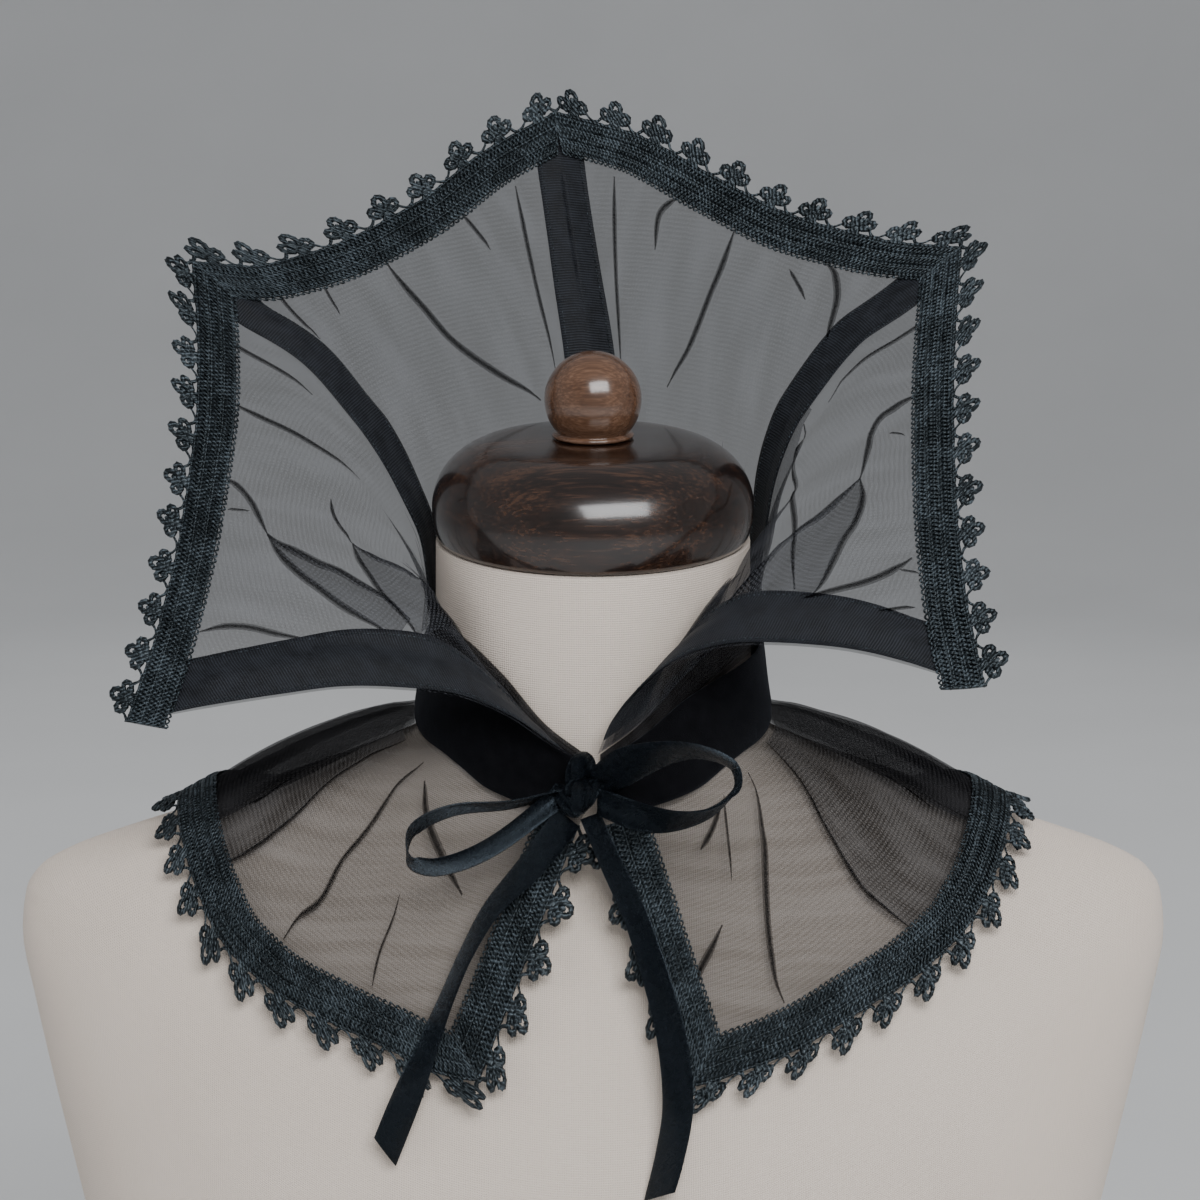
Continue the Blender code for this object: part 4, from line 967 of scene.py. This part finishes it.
def organza_look(name, alpha, dark, light):
    """Sheer black organza: fine crossed threads, and long soft streaks down the cloth that paint the shade
    and light of broad folds.
    """
    look = Look(name, 0.55, Alpha=alpha, IOR=1.08, Specular_IOR_Level=0.2)
    place = look.place(True)
    weave = look.joined(look.bands(place, 1.7, "Y", 2.2), look.bands(place, 1.1, "X", 2.2), "MULTIPLY")
    # painted fold shading: soft noise drawn out down the cloth, weighted double in the colour, runs from the
    # dark colour to the painted light one
    streak = look.noise(look.place(True, (1.0, 0.22, 1.0)), 10.0, 2.0)
    look.colour(look.joined(weave, look.joined(streak, streak)), (0.85, dark), (1.7, light))
    look.rough(streak, 0.45, 0.65)
    return look.material


def ribbon_look():
    """Grosgrain ribbon: fine ribs across it, worn a little paler in patches."""
    look = Look("bone_ribbon", 0.6, Sheen_Weight=0.05, Sheen_Roughness=0.4, Specular_IOR_Level=0.25)
    place = look.place(True)
    ribs = look.bands(place, 0.95, "Y", 0.4)
    cloud = look.noise(place, 7.0, 4.0)
    warp = look.noise(look.place(True, (2.4, 0.3, 1.0)), 1.0, 2.0)
    mixed = look.joined(look.joined(ribs, warp, "MULTIPLY"), cloud)
    look.colour(mixed, (0.3, (0.0025, 0.003, 0.0045)), (0.7, (0.007, 0.008, 0.011)),
                (1.0, (0.020, 0.023, 0.030)))
    look.rough(cloud, 0.45, 0.75)
    look.bump(look.joined(ribs, warp), 0.16, 0.8)
    return look.material


def lace_look(name, dark, light):
    """Thick twisted thread with a cool glint here and there, painted into its colour as pale specks, besides
    its real gloss.
    """
    look = Look(name, 0.5, Sheen_Weight=0.1, Sheen_Roughness=0.3, Sheen_Tint=(0.65, 0.85, 1.0, 1.0),
                Specular_IOR_Level=0.5, Specular_Tint=(0.78, 0.92, 1.0, 1.0))
    place = look.place(True)
    twist = look.bands(look.place(True, (1.0, 0.75, 0.6)), 0.8, "DIAGONAL", 2.4)
    glint_speck = look.noise(place, 1.5, 3.0, 0.6)
    patch = look.noise(place, 16.0, 2.0)
    mixed = look.joined(look.joined(look.joined(twist, glint_speck, "MULTIPLY"), glint_speck), patch)
    middle = tuple((a + b) / 4.0 for a, b in zip(dark, light))
    # painted glints: the light colour at the top of the ramp is painted highlight on the specks
    look.colour(mixed, (1.12, dark), (1.42, middle), (1.75, light))
    look.rough(glint_speck, 0.25, 0.6)
    look.bump(look.joined(twist, glint_speck), 0.2, 1.0)
    return look.material


def velvet_look():
    """Black velvet: a short pile that lies unevenly and catches light at its edges."""
    look = Look("neck_velvet", 0.95, Sheen_Weight=0.08, Sheen_Roughness=0.45,
                Sheen_Tint=(0.7, 0.75, 0.9, 1.0), Specular_IOR_Level=0.05)
    place = look.place(True)
    nap = look.noise(place, 6.0, 5.0, 0.6)
    pile = look.noise(place, 0.35, 2.0)
    look.colour(look.joined(nap, pile, "MULTIPLY"),
                (0.1, (0.0015, 0.0015, 0.002)), (0.5, (0.009, 0.009, 0.011)))
    look.bump(look.joined(nap, pile), 0.35, 0.7)
    return look.material


def satin_look():
    """Double satin ribbon: smooth floats along it, crumpled a little, with a bluish gloss."""
    look = Look("bow_satin", 0.3, Specular_IOR_Level=0.5, Specular_Tint=(0.66, 0.83, 1.0, 1.0),
                Anisotropic=0.3)
    floats = look.bands(look.place(True), 0.3, "X", 0.3)
    cloud = look.noise(look.place(True, (1.0, 0.35, 1.0)), 4.0, 4.0)
    crumple = look.noise(look.place(True), 3.2, 4.0, 0.65)
    look.colour(look.joined(floats, cloud, "MULTIPLY"),
                (0.05, (0.0008, 0.001, 0.0018)), (0.7, (0.005, 0.007, 0.012)))
    look.rough(crumple, 0.08, 0.46)
    look.bump(look.joined(look.joined(floats, cloud), look.joined(crumple, crumple)), 0.42, 1.0)
    return look.material


def linen_look():
    """Unbleached plain linen drawn tight: crossed threads, slubs and a little soiling."""
    look = Look("form_linen", 0.9, Sheen_Weight=0.12, Specular_IOR_Level=0.2)
    place = look.place(True)
    weave = look.joined(look.bands(place, 0.75, "X", 1.4), look.bands(place, 0.75, "Y", 1.4))
    slub = look.joined(look.noise(look.place(True, (0.25, 2.5, 1.0)), 2.0, 3.0),
                       look.noise(look.place(True, (2.5, 0.25, 1.0)), 2.0, 3.0))
    cloud = look.noise(look.place(False), 60.0, 4.0)
    tone = look.joined(look.joined(weave, slub, "MULTIPLY"), cloud)
    look.colour(tone, (0.4, (0.56, 0.465, 0.385)), (0.75, (0.72, 0.612, 0.525)), (1.0, (0.80, 0.695, 0.605)))
    look.bump(look.joined(weave, slub), 0.14, 0.7)
    return look.material


def wood_look(name, dark, middle, light, size):
    """Varnished turned wood with streaks of grain along one way."""
    look = Look(name, 0.22, Coat_Weight=0.8, Coat_Roughness=0.12, Specular_IOR_Level=0.5)
    streak = look.noise(look.place(False, (0.14, 1.0, 1.0)), size, 6.0, 0.62)
    pores = look.noise(look.place(False, (0.06, 2.2, 2.2)), size / 5.0, 3.0, 0.5)
    grain = look.joined(streak, look.joined(pores, pores, "MULTIPLY"))
    look.colour(grain, (0.45, dark), (0.75, middle), (1.0, light))
    look.rough(streak, 0.16, 0.34)
    look.bump(pores, 0.08, 0.35)
    return look.material


def floor_look():
    look = Look("pale_floor", 0.85, Specular_IOR_Level=0.2)
    cloud = look.noise(look.place(False), 400.0, 3.0)
    look.colour(cloud, (0.3, (0.66, 0.665, 0.67)), (0.7, (0.70, 0.705, 0.71)))
    return look.material


# Each organza's second colour is the painted light on its folds.
ORGANZA = organza_look("black_organza", 0.50, (0.004, 0.004, 0.005), (0.075, 0.078, 0.088))
CAPE_ORGANZA = organza_look("cape_organza", 0.52, (0.004, 0.004, 0.005), (0.125, 0.120, 0.120))
# painted shade of the creases and gathers: a near-black copy of the organza
ORGANZA_CREASE_SHADE = organza_look("organza_crease_shade", 0.46, (0.002, 0.002, 0.003), (0.008, 0.008, 0.009))
# doubled cloth: more opaque, as real layers are, and darker in colour than the cape's organza, which is
# painted shade
ORGANZA_DOUBLED_SHADE = organza_look("organza_doubled_shade", 0.58, (0.004, 0.004, 0.005), (0.045, 0.044, 0.047))
RIBBON = ribbon_look()
# Each lace look's second colour is its painted glint.
THREAD = lace_look("black_lace", (0.0015, 0.0018, 0.0022), (0.085, 0.105, 0.122))
THREAD_FILL = lace_look("lace_filling", (0.008, 0.010, 0.012), (0.120, 0.142, 0.160))
GROUND = lace_look("lace_ground", (0.001, 0.0012, 0.0016), (0.004, 0.005, 0.006))
STITCH = lace_look("stitch_thread", (0.006, 0.007, 0.009), (0.050, 0.058, 0.070))
VELVET_LOOK = velvet_look()
SATIN = satin_look()
LINEN = linen_look()
CAP_WOOD = wood_look("cap_wood", (0.004, 0.002, 0.0012), (0.015, 0.0065, 0.004), (0.060, 0.027, 0.014), 9.0)
KNOB_WOOD = wood_look("knob_wood", (0.060, 0.027, 0.014), (0.115, 0.056, 0.031), (0.185, 0.098, 0.058), 7.0)


def dress(piece, slot, *nodes):
    """Hides the CAD parts that a piece takes the place of, and sets it to ride on the one body."""
    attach(piece, "root")
    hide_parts(*nodes)
    return piece


def make_camera():
    data = bpy.data.cameras.new("camera")
    data.lens, data.sensor_width = CAMERA_LENS, CAMERA_SENSOR
    made = bpy.data.objects.new("camera", data)
    made.location = (AIM[0], AIM[1] - CAMERA_AWAY * cos(CAMERA_RISE), AIM[2] + CAMERA_AWAY * sin(CAMERA_RISE))
    made.rotation_euler = (pi / 2.0 - CAMERA_RISE, 0.0, 0.0)
    bpy.context.scene.collection.objects.link(made)
    bpy.context.scene.camera = made


def strip_grid(line, width_way, end_cut, curl, spread):
    """A flat ribbon along a line, its width turned to the given way, cupped a little."""
    t = shares(STRIP_ROWS + 1)
    here = line(t)
    ahead = unit(np.gradient(here, axis=0))
    way = width_way(t)
    way = unit(way - ahead * dot(way, ahead)[:, None])
    normal = np.cross(way, ahead)
    x = np.linspace(-1.0, 1.0, SATIN_COLUMNS)
    slant = end_cut * np.clip((t - CUT_FROM) / 0.06, 0.0, 1.0)
    wide = BOW_WIDTH * (1.0 + spread * np.sin(pi * t) ** 0.7)
    grid = here[:, None] + way[:, None] * (x[None, :] * wide[:, None] / 2.0)[..., None]
    if end_cut == 0.0:
        fade = np.exp(-np.minimum(t, 1.0 - t) / PLEAT_FADE)[:, None]
        grid = grid + normal[:, None] * (PLEAT_DEPTH * np.sin(5.0 * x + 2.0)[None, :] * fade)[..., None]
    return (grid + ahead[:, None] * (slant[:, None] * x[None, :])[..., None]
            + normal[:, None] * (curl * (x * x - 0.4))[None, :, None]), here


def tail_line(rows):
    """The line of a tail from its rows of x, height and how far it lies off the form."""
    x, height, off = np.array(rows).T
    return Curve(spots(x, form_front(x, height) - off, height))


def turning(*terms):
    """A way that changes along a strip, from constant, sloping and arched parts."""
    def way(t):
        return spots(*(base + slope * t + sum(arch) * np.sin(pi * t) ** 2 for base, slope, *arch in terms))
    return way


def make_strip(name, line, width_way, end_cut=0.0, curl=0.5, spread=0.0):
    """A strip of the bow's ribbon, and its middle line."""
    grid, middle = strip_grid(line, width_way, end_cut, curl, spread)
    shape = Shape()
    add_slab(shape, grid, SATIN_THICK)
    return dress(shape.make(name, [SATIN]), "bow_satin", name), middle


def length_of(points):
    """Length of a line in metres."""
    return np.linalg.norm(np.diff(points, axis=0), axis=1).sum() * MM


def make_bow():
    for name, rows, way, cut in (
            ("bow_tail_left", TAIL_LEFT, turning((1.0, 0.0, -0.45), (-0.1, 0.1, -0.8), (0.2, 0.0)), 3.0),
            ("bow_tail_right", TAIL_RIGHT, turning((0.75, -0.2), (0.75, -1.1), (-0.1, 0.0)), -3.0)):
        piece, middle = make_strip(name, tail_line(rows), way, cut)
        path = [tuple(p) for p in to_metres(middle[::4])]
    for name, rows, way, curl, spread in (
            ("bow_loop_left", LOOP_LEFT, turning((0.0, 0.0), (-0.9, 0.5), (0.35, 0.6)), 0.5, 0.0),
            ("bow_loop_right", LOOP_RIGHT, turning((0.1, 0.0), (-0.3, -0.1, -0.8), (0.95, -0.1, -0.5)),
             0.9, 0.62)):
        piece, middle = make_strip(name, Curve(rows), way, 0.0, curl, spread)


def knotted(centre, half, folds, lean):
    """A rounded lump of ribbon with folds running up it, leaning sideways."""
    up = np.linspace(0.0, pi, KNOT_ROWS)[:, None]
    turn = (2.0 * pi * np.arange(KNOT_COLUMNS) / KNOT_COLUMNS)[None, :]

    def power(value, amount):
        return np.sign(value) * np.abs(value) ** amount

    ripple = (1.0 + 0.10 * np.sin(folds * turn + 3.5 * np.cos(up))
              + 0.05 * np.sin((2 * folds - 1) * turn - 4.0 * up))
    girth = ripple * (0.86 + 0.12 * np.sin(up) ** 2) * power(np.sin(up), 0.75)
    z = half[2] * power(np.cos(up), 0.85)
    x = half[0] * girth * power(np.cos(turn), 0.8) + lean * z
    y = half[1] * girth * power(np.sin(turn), 0.8)
    return spots(x, y, z) + np.array(centre)


def make_knot():
    """The knot: ribbon drawn round the loops in three folds, and the gathers caught above it."""
    shape = Shape()
    for centre, half, folds, lean in KNOT_FOLDS:
        shape.add_grid(knotted(centre, half, folds, lean), wrap=True)
    dress(shape.make("bow_knot", [SATIN]), "bow_satin", "bow_knot")


def make_form():
    """The form, its rows closest together over the shoulders, with a disc at its top and its base."""
    drops = np.concatenate([np.linspace(*run)[:-1] for run in FORM_RUNS] + [[FORM_RUNS[-1][1]]])
    turn = np.linspace(-pi, pi, FORM_COLUMNS + 1)
    grid = form_point(turn[None, :], drops[:, None])
    shape = Shape()
    shape.add_grid(grid)
    for ring, order in ((grid[0, :-1], 1), (grid[-1, :-1], -1)):
        disc = np.concatenate([ring, [ring.mean(axis=0)]])
        count = len(ring)
        faces = [(k, (k + 1) % count, count)[::order] for k in range(count)]
        shape.add(disc, faces)
    dress(shape.make("form_body", [LINEN]), "form_linen", "form_body")


def turned(profile, name, look, slot):
    """A profile turned round the neck's leaning axis."""
    profile = np.array(profile, float)
    turn = 2.0 * pi * np.arange(TURNED_STEPS) / TURNED_STEPS
    x, y, z = profile[:, :1] * np.sin(turn), -profile[:, :1] * np.cos(turn), profile[:, 1:]
    shape = Shape()
    shape.add_grid(spots(x, y * cos(NECK_TILT) - z * sin(NECK_TILT),
                         y * sin(NECK_TILT) + z * cos(NECK_TILT) + SEAM_GAP), wrap=True)
    return dress(shape.make(name, [look]), slot, name)


def make_cap():
    """The turned cap of the neck, and the ball on its ring."""
    outline = flat_curve(CAP_PROFILE[:-1])(shares(CAP_ROWS))
    outline[:, 0] = np.maximum(outline[:, 0], 0.0)
    outline = np.concatenate([outline, [CAP_PROFILE[-1]]])
    turned(outline, "neck_cap", CAP_WOOD, "cap_wood")
    ring_radius, ring_height = KNOB_RING[0]
    last = pi - asin(ring_radius / KNOB_RADIUS)
    turns = [last * k / KNOB_STEPS for k in range(KNOB_STEPS + 1)]
    arc = [(KNOB_RADIUS * sin(turn), KNOB_CENTRE + KNOB_RADIUS * cos(turn)) for turn in turns]
    ball = [point for point in arc if point[1] > ring_height]
    turned(ball + list(KNOB_RING), "cap_knob", KNOB_WOOD, "knob_wood")


def strip_rows(column_top, depth, outs, rows, columns):
    """A strip round the neck from the left front to the right front, on a fine grid."""
    angle = np.linspace(-FRONT_SLIT, -360.0 + FRONT_SLIT, columns + 1)[None, :]
    top = around(column_top, angle) + SEAM_GAP
    bottom = top + depth if depth else around(3, angle)
    share = shares(rows)[:, None]
    out = outs[0] + (outs[1] - outs[0]) * share
    return form_point(np.radians(angle), top + (bottom - top) * share, out, neck_only=True), angle, share


def make_neck_strips():
    """The gathered sheer facing against the neck, and the velvet band over it."""
    shape = Shape()
    for layer, (less, gap) in enumerate(FACING_LAYERS):
        out = FACING_OUT + gap
        grid, angle, share = strip_rows(1, FACING_DEPTH - less, (out, out), 9, 300)
        ripple = RIPPLE * np.sin(np.radians(angle) * (74 + 9 * layer) + layer) * np.minimum(1.0, 3.0 * share)
        grid = clear_of_form(grid + normals_of(grid) * ripple[..., None], STRIP_CLEAR)
        shape.add_grid(grid)
    # the facing's layers in the denser organza: real layers, with their darker colour painted shade
    piece = dress(shape.make("neck_facing", [ORGANZA_DOUBLED_SHADE]), "black_organza", "neck_facing")

    grid = clear_of_form(strip_rows(2, 0.0, (BAND_OUT_TOP, BAND_OUT_BOTTOM), 21, 260)[0], STRIP_CLEAR)
    middle = grid - normals_of(grid) * (VELVET / 2.0) * (1.0 if outward(grid) < 0 else -1.0)
    shape = Shape()
    add_slab(shape, np.swapaxes(middle, 0, 1), VELVET * 0.98)
    piece = dress(shape.make("neck_band", [VELVET_LOOK]), "neck_velvet", "neck_band")


def outward(grid):
    """Sign of a neck strip's normals: positive where they point away from the neck."""
    normal = normals_of(grid)
    middle = grid.shape[0] // 2, grid.shape[1] // 4
    return float(dot(normal[middle], grid[middle] * np.array((1.0, 1.0, 0.0))))


def make_panels(surfaces):
    for panel, surface in zip(PANELS, surfaces):
        creases = PANEL_CREASES[panel.name]

        def creased(s, t, surface=surface, creases=creases):
            height = crease_height(creases, s, t, PANEL_SPAN)
            return surface(s, t) + facing(surface, s, t) * height[..., None]

        grid = creased(shares(PANEL_COLUMNS + 1)[None, :], shares(PANEL_ROWS + 1)[:, None])
        grid[:, 0] += unit(grid[:, 1] - grid[:, 0]) * PANEL_JOIN
        grid[:, -1] += unit(grid[:, -2] - grid[:, -1]) * PANEL_JOIN
        shape = Shape()
        shape.add_grid(grid)
        for crease in creases:
            add_crease_line(shape, creased, crease, PANEL_SPAN, CREASE_LINES)
        for flap in PANEL_FLAPS[panel.name]:
            add_flap(shape, creased, flap)
        add_gathers(shape, creased, PANEL_SPAN, *PANEL_GATHERS[panel.name])
        piece = dress(shape.make(panel.name, [ORGANZA, ORGANZA_CREASE_SHADE]), "black_organza", panel.name)


def beside(surface, s, t, away, distance):
    """The place s at a distance in mm beside a bone, on the side given by away."""
    step = 0.01
    rate = np.linalg.norm(surface(s + step, t) - surface(s - step, t), axis=-1) / (2 * step)
    return s + away * distance / rate


def lace_inset(surface, s, away, distance):
    """How far below a bone's tip the lace begins, at a distance beside the bone."""
    tip = surface(s, 1.0)
    down = unit(surface(s, 0.9) - tip)
    ahead = unit(surface(s + away * 0.1, 1.0) - tip)
    cosine = float(dot(down, ahead))
    return (LACE_BAND - RIBBON_UNDER + distance * cosine) / np.sqrt(1.0 - cosine * cosine)


def add_stitches(shape, grid, normal):
    """A row of short stitches along both edges of a ribbon."""
    rows = grid.shape[0] - 1
    count = int(length_of(grid[:, 7]) / MM / STITCH_PITCH)
    for column, inward in ((1, 2), (-2, -3)):
        for k in range(count):
            ends = []
            for share in STITCH_SPAN:
                at = (k + share) / count * rows
                i = min(int(at), rows - 1)
                spot = grid[i, column] * (1 - at + i) + grid[i + 1, column] * (at - i)
                ends.append((spot, unit(grid[i, inward] - grid[i, column]), normal[i, column]))
            bar = [spot + way * side * STITCH_HALF + up * rise for spot, way, up in ends
                   for side, rise in ((-1, STITCH_LOW), (1, STITCH_LOW), (1, STITCH_HIGH), (-1, STITCH_HIGH))]
            shape.add(bar, BAR_FACES, look=1)


def make_ribbon(name, sides, start):
    """A bone's ribbon, crowned over the bone and stitched down along both edges."""
    length = length_of(Curve(BONES[name.removeprefix("bone_")])(shares(60))) / MM
    k = shares(RIBBON_ROWS + 1)
    slack = np.clip((1.0 - k) * length / RIBBON_UNDER - 0.9, 0.05, 1.0)
    columns = []
    for surface, s, away, near, far in sides:
        for distance in np.linspace(near, far, RIBBON_COLUMNS // len(sides)):
            last = 1.0 - lace_inset(surface, s, away, distance) / length
            t = start + (last - start) * k
            place = beside(surface, np.full_like(t, s), t, away, distance)
            columns.append(surface(place, t) + facing(surface, place, t) * (RIBBON_LIFT * slack)[:, None])
    grid = np.stack(columns, axis=1)
    x = np.linspace(-1.0, 1.0, grid.shape[1])
    if len(sides) == 2:       # the two middle columns meet over the bone
        middle = (grid[:, 6] + grid[:, 7]) / 2.0
        grid[:, 6] = middle + (grid[:, 5] - grid[:, 7]) * 0.15
        grid[:, 7] = middle - (grid[:, 5] - grid[:, 8]) * 0.05
    normal = normals_of(grid)
    side = 1.0 if dot(normal[30, 7], facing(sides[0][0], np.array(sides[0][1]), np.array(0.5))) > 0 else -1.0
    crown = (CROWN_HEIGHT * np.exp(-(x / CROWN_WIDTH) ** 2)
             - SEAM_DEPTH * np.exp(-((np.abs(x) - SEAM_AT) / SEAM_WIDTH) ** 2))
    wobble = WOBBLE * np.sin(np.linspace(0.0, 19.0, len(grid)))[:, None] * x[None, :] ** 2
    grid = grid + normal * side * ((RIBBON_BASE + crown[None, :] + wobble) * slack[:, None])[..., None]
    shape = Shape()
    add_slab(shape, grid, RIBBON_THICK)
    add_stitches(shape, grid, normals_of(grid) * side)
    piece = dress(shape.make(name, [RIBBON, STITCH]), "bone_ribbon", name)


def corner_mitre(edge_a, edge_b):
    """Cotangent of half the angle between the end of one edge and the start of the next."""
    def spot(edge, distance):
        return edge.place(np.array([distance]), np.array([0.0]), 0.0)[0]
    back = unit(spot(edge_a, edge_a.length - LACE_BAND) - spot(edge_a, edge_a.length))
    on = unit(spot(edge_b, LACE_BAND) - spot(edge_b, 0.0))
    return 1.0 / tan(np.arccos(float(dot(back, on))) / 2.0)


def make_laces(names, edges, lift, guard):
    """Lengths of lace along edges that follow one another, mitred where they meet."""
    mitres = [0.0, *(corner_mitre(a, b) for a, b in zip(edges, edges[1:])), 0.0]
    return [make_lace(name, LaceBed(edge, cut, lift, guard))
            for name, edge, cut in zip(names, edges, zip(mitres, mitres[1:]))]


def make_collar_lace(surfaces):
    names = ("lace_side_left", "lace_top_left", "lace_top_right", "lace_side_right")
    top = [Edge(surface, (0.0, 1.0), (1.0, 1.0), (0.0, -0.1)) for surface in surfaces]
    return make_laces(names, top, LACE_LIFT, lambda points: points)


def make_cape_lace():
    names = ("lace_cape_front_left", "lace_cape_hem", "lace_cape_front_right")
    edges = [Edge(cape_surface, start, end, inward) for start, end, inward in (
        ((0.0, FRONT_LACE_START), (0.0, 1.0), (0.02, 0.0)), ((0.0, 1.0), (1.0, 1.0), (0.0, -0.1)),
        ((1.0, 1.0), (1.0, FRONT_LACE_START), (-0.02, 0.0)))]
    return make_laces(names, edges, CLOTH + CAPE_LACE_LIFT, lambda points: clear_of_form(points, LACE_CLEAR))


def make_cape():
    """The cape: its top edge tucked under the band, its hem turned up, and doubled behind the shoulders."""
    s, t = shares(CAPE_COLUMNS + 1)[None, :], np.linspace(CAPE_TUCK, 1.0, CAPE_ROWS + 1)[:, None]
    grid = cape_surface(s, t)
    normal = upward(normals_of(grid))
    height = crease_height(CAPE_CREASES, s, t, CAPE_SPAN) * np.clip(5.0 * (1.0 - t), 0.0, 1.0)
    grid = grid + normal * height[..., None]
    shape = Shape()
    shape.add_grid(grid)
    shape.add_grid(grid[-5:] - normal[-5:] * HEM_GAP)

    def read(s, t):
        rows = np.clip((t - CAPE_TUCK) / (1.0 - CAPE_TUCK), 0.0, 1.0 - 1e-9) * CAPE_ROWS
        return blended(grid, rows, np.clip(s, 0.0, 1.0 - 1e-9) * CAPE_COLUMNS)

    def add_fold(front, back, down, share, lift, look):
        """Cloth doubled between two places s, lifted off the cape."""
        s, t = np.broadcast_arrays(front + (back - front) * share, down)
        add_raised(shape, read, s, t, lift, look, CAPE_STEP, upward)

    # the doubled cloth in the denser organza: real layers, with their darker colour painted shade
    for foot, hem, back in CAPE_DOUBLED:
        share, down = shares(14)[None, :], np.linspace(0.0, 0.97, 40)[:, None]
        swell = FOLD_SWELL * np.sin(pi * share) * np.sin(pi * np.minimum(1.0, down * 1.03))
        for layer in range(2):
            front = foot + (hem - foot) * down + 0.012 * layer * np.sign(back - foot) * (1.0 - down)
            add_fold(front, back, down, share, (FOLD_LIFT + FOLD_GAP * layer + swell)[..., None], 2)
    for crease, (_, _, back) in zip((CAPE_CREASES[0], CAPE_CREASES[4]), CAPE_DOUBLED):
        edge = flat_curve(crease.line)(shares(40))
        add_fold(edge[:, :1], back, edge[:, 1:], shares(24)[None, :], EDGE_FOLD_LIFT, 0)
    for crease in CAPE_CREASES:
        add_crease_line(shape, read, crease, CAPE_SPAN, CAPE_LINES, upward)
    piece = dress(shape.make("cape", [CAPE_ORGANZA, ORGANZA_CREASE_SHADE, ORGANZA_DOUBLED_SHADE]), "black_organza", "cape")


def make_stage():
    """A pale studio floor that sweeps up all round."""
    profile = [(0.0, 0.0), (2.6, 0.0)]
    profile += [(2.6 + 1.4 * sin(k * pi / 24), 1.4 - 1.4 * cos(k * pi / 24)) for k in range(1, 13)]
    profile.append((4.0, 3.4))
    turn = 2.0 * pi * np.arange(96) / 96
    radius, height = np.array(profile).T[..., None]
    grid = spots(radius * np.sin(turn), radius * np.cos(turn), height)
    mesh = bpy.data.meshes.new("studio_floor")
    mesh.from_pydata(grid.reshape(-1, 3).tolist(), [], grid_faces(len(profile), 96, True).tolist())
    mesh.polygons.foreach_set("use_smooth", [True] * len(mesh.polygons))
    mesh.materials.append(floor_look())
    made = bpy.data.objects.new("studio_floor", mesh)
    bpy.context.scene.collection.objects.link(made)


def add_light(name, place, size, power, colour=(1.0, 1.0, 1.0), glints=True):
    data = bpy.data.lights.new(name, "AREA")
    data.shape, data.size, data.size_y = "RECTANGLE", size[0], size[1]
    data.energy, data.color = power, colour
    made = bpy.data.objects.new(name, data)
    made.location = place
    made.visible_glossy = glints
    aim = np.array(AIM) - np.array(place)
    made.rotation_euler = (np.arctan2(np.hypot(aim[0], aim[1]), -aim[2]), 0.0, np.arctan2(-aim[0], aim[1]))
    bpy.context.scene.collection.objects.link(made)


def make_lights():
    add_light("window", (0.55, -1.7, 1.75), (1.7, 0.95), 44.0, (0.97, 0.985, 1.0))
    add_light("left_fill", (-2.0, -0.7, 1.3), (1.2, 1.6), 9.0, glints=False)
    add_light("right_fill", (2.1, -0.3, 1.5), (1.2, 1.6), 7.0, glints=False)
    add_light("back", (0.0, 1.9, 2.0), (1.8, 1.0), 16.0, glints=False)
    world = bpy.data.worlds.new("studio")
    world.use_nodes = True
    sky = world.node_tree.nodes["Background"].inputs
    sky["Color"].default_value = (0.92, 0.94, 0.97, 1.0)
    sky["Strength"].default_value = 0.30
    bpy.context.scene.world = world


make_camera()
make_bow()
make_stage()
make_lights()
make_form()
make_cap()
make_knot()
make_neck_strips()
SURFACES = [panel_surface(panel) for panel in PANELS]
make_panels(SURFACES)
HALF = RIBBON_WIDTH / 2.0
for index, ribbon in enumerate(("bone_back_left", "bone_back", "bone_back_right")):
    make_ribbon(ribbon, ((SURFACES[index], 1.0, -1, HALF, 0.4), (SURFACES[index + 1], 0.0, 1, 0.4, HALF)),
                RIBBON_START)
MARGIN = PANEL_PARTING + 0.2
make_ribbon("bone_front_left", ((SURFACES[0], 0.0, 1, MARGIN, RIBBON_WIDTH),), FRONT_RIBBON_START)
make_ribbon("bone_front_right", ((SURFACES[3], 1.0, -1, RIBBON_WIDTH, MARGIN),), FRONT_RIBBON_START)
collar_lace = make_collar_lace(SURFACES)
make_cape()
cape_lace = make_cape_lace()
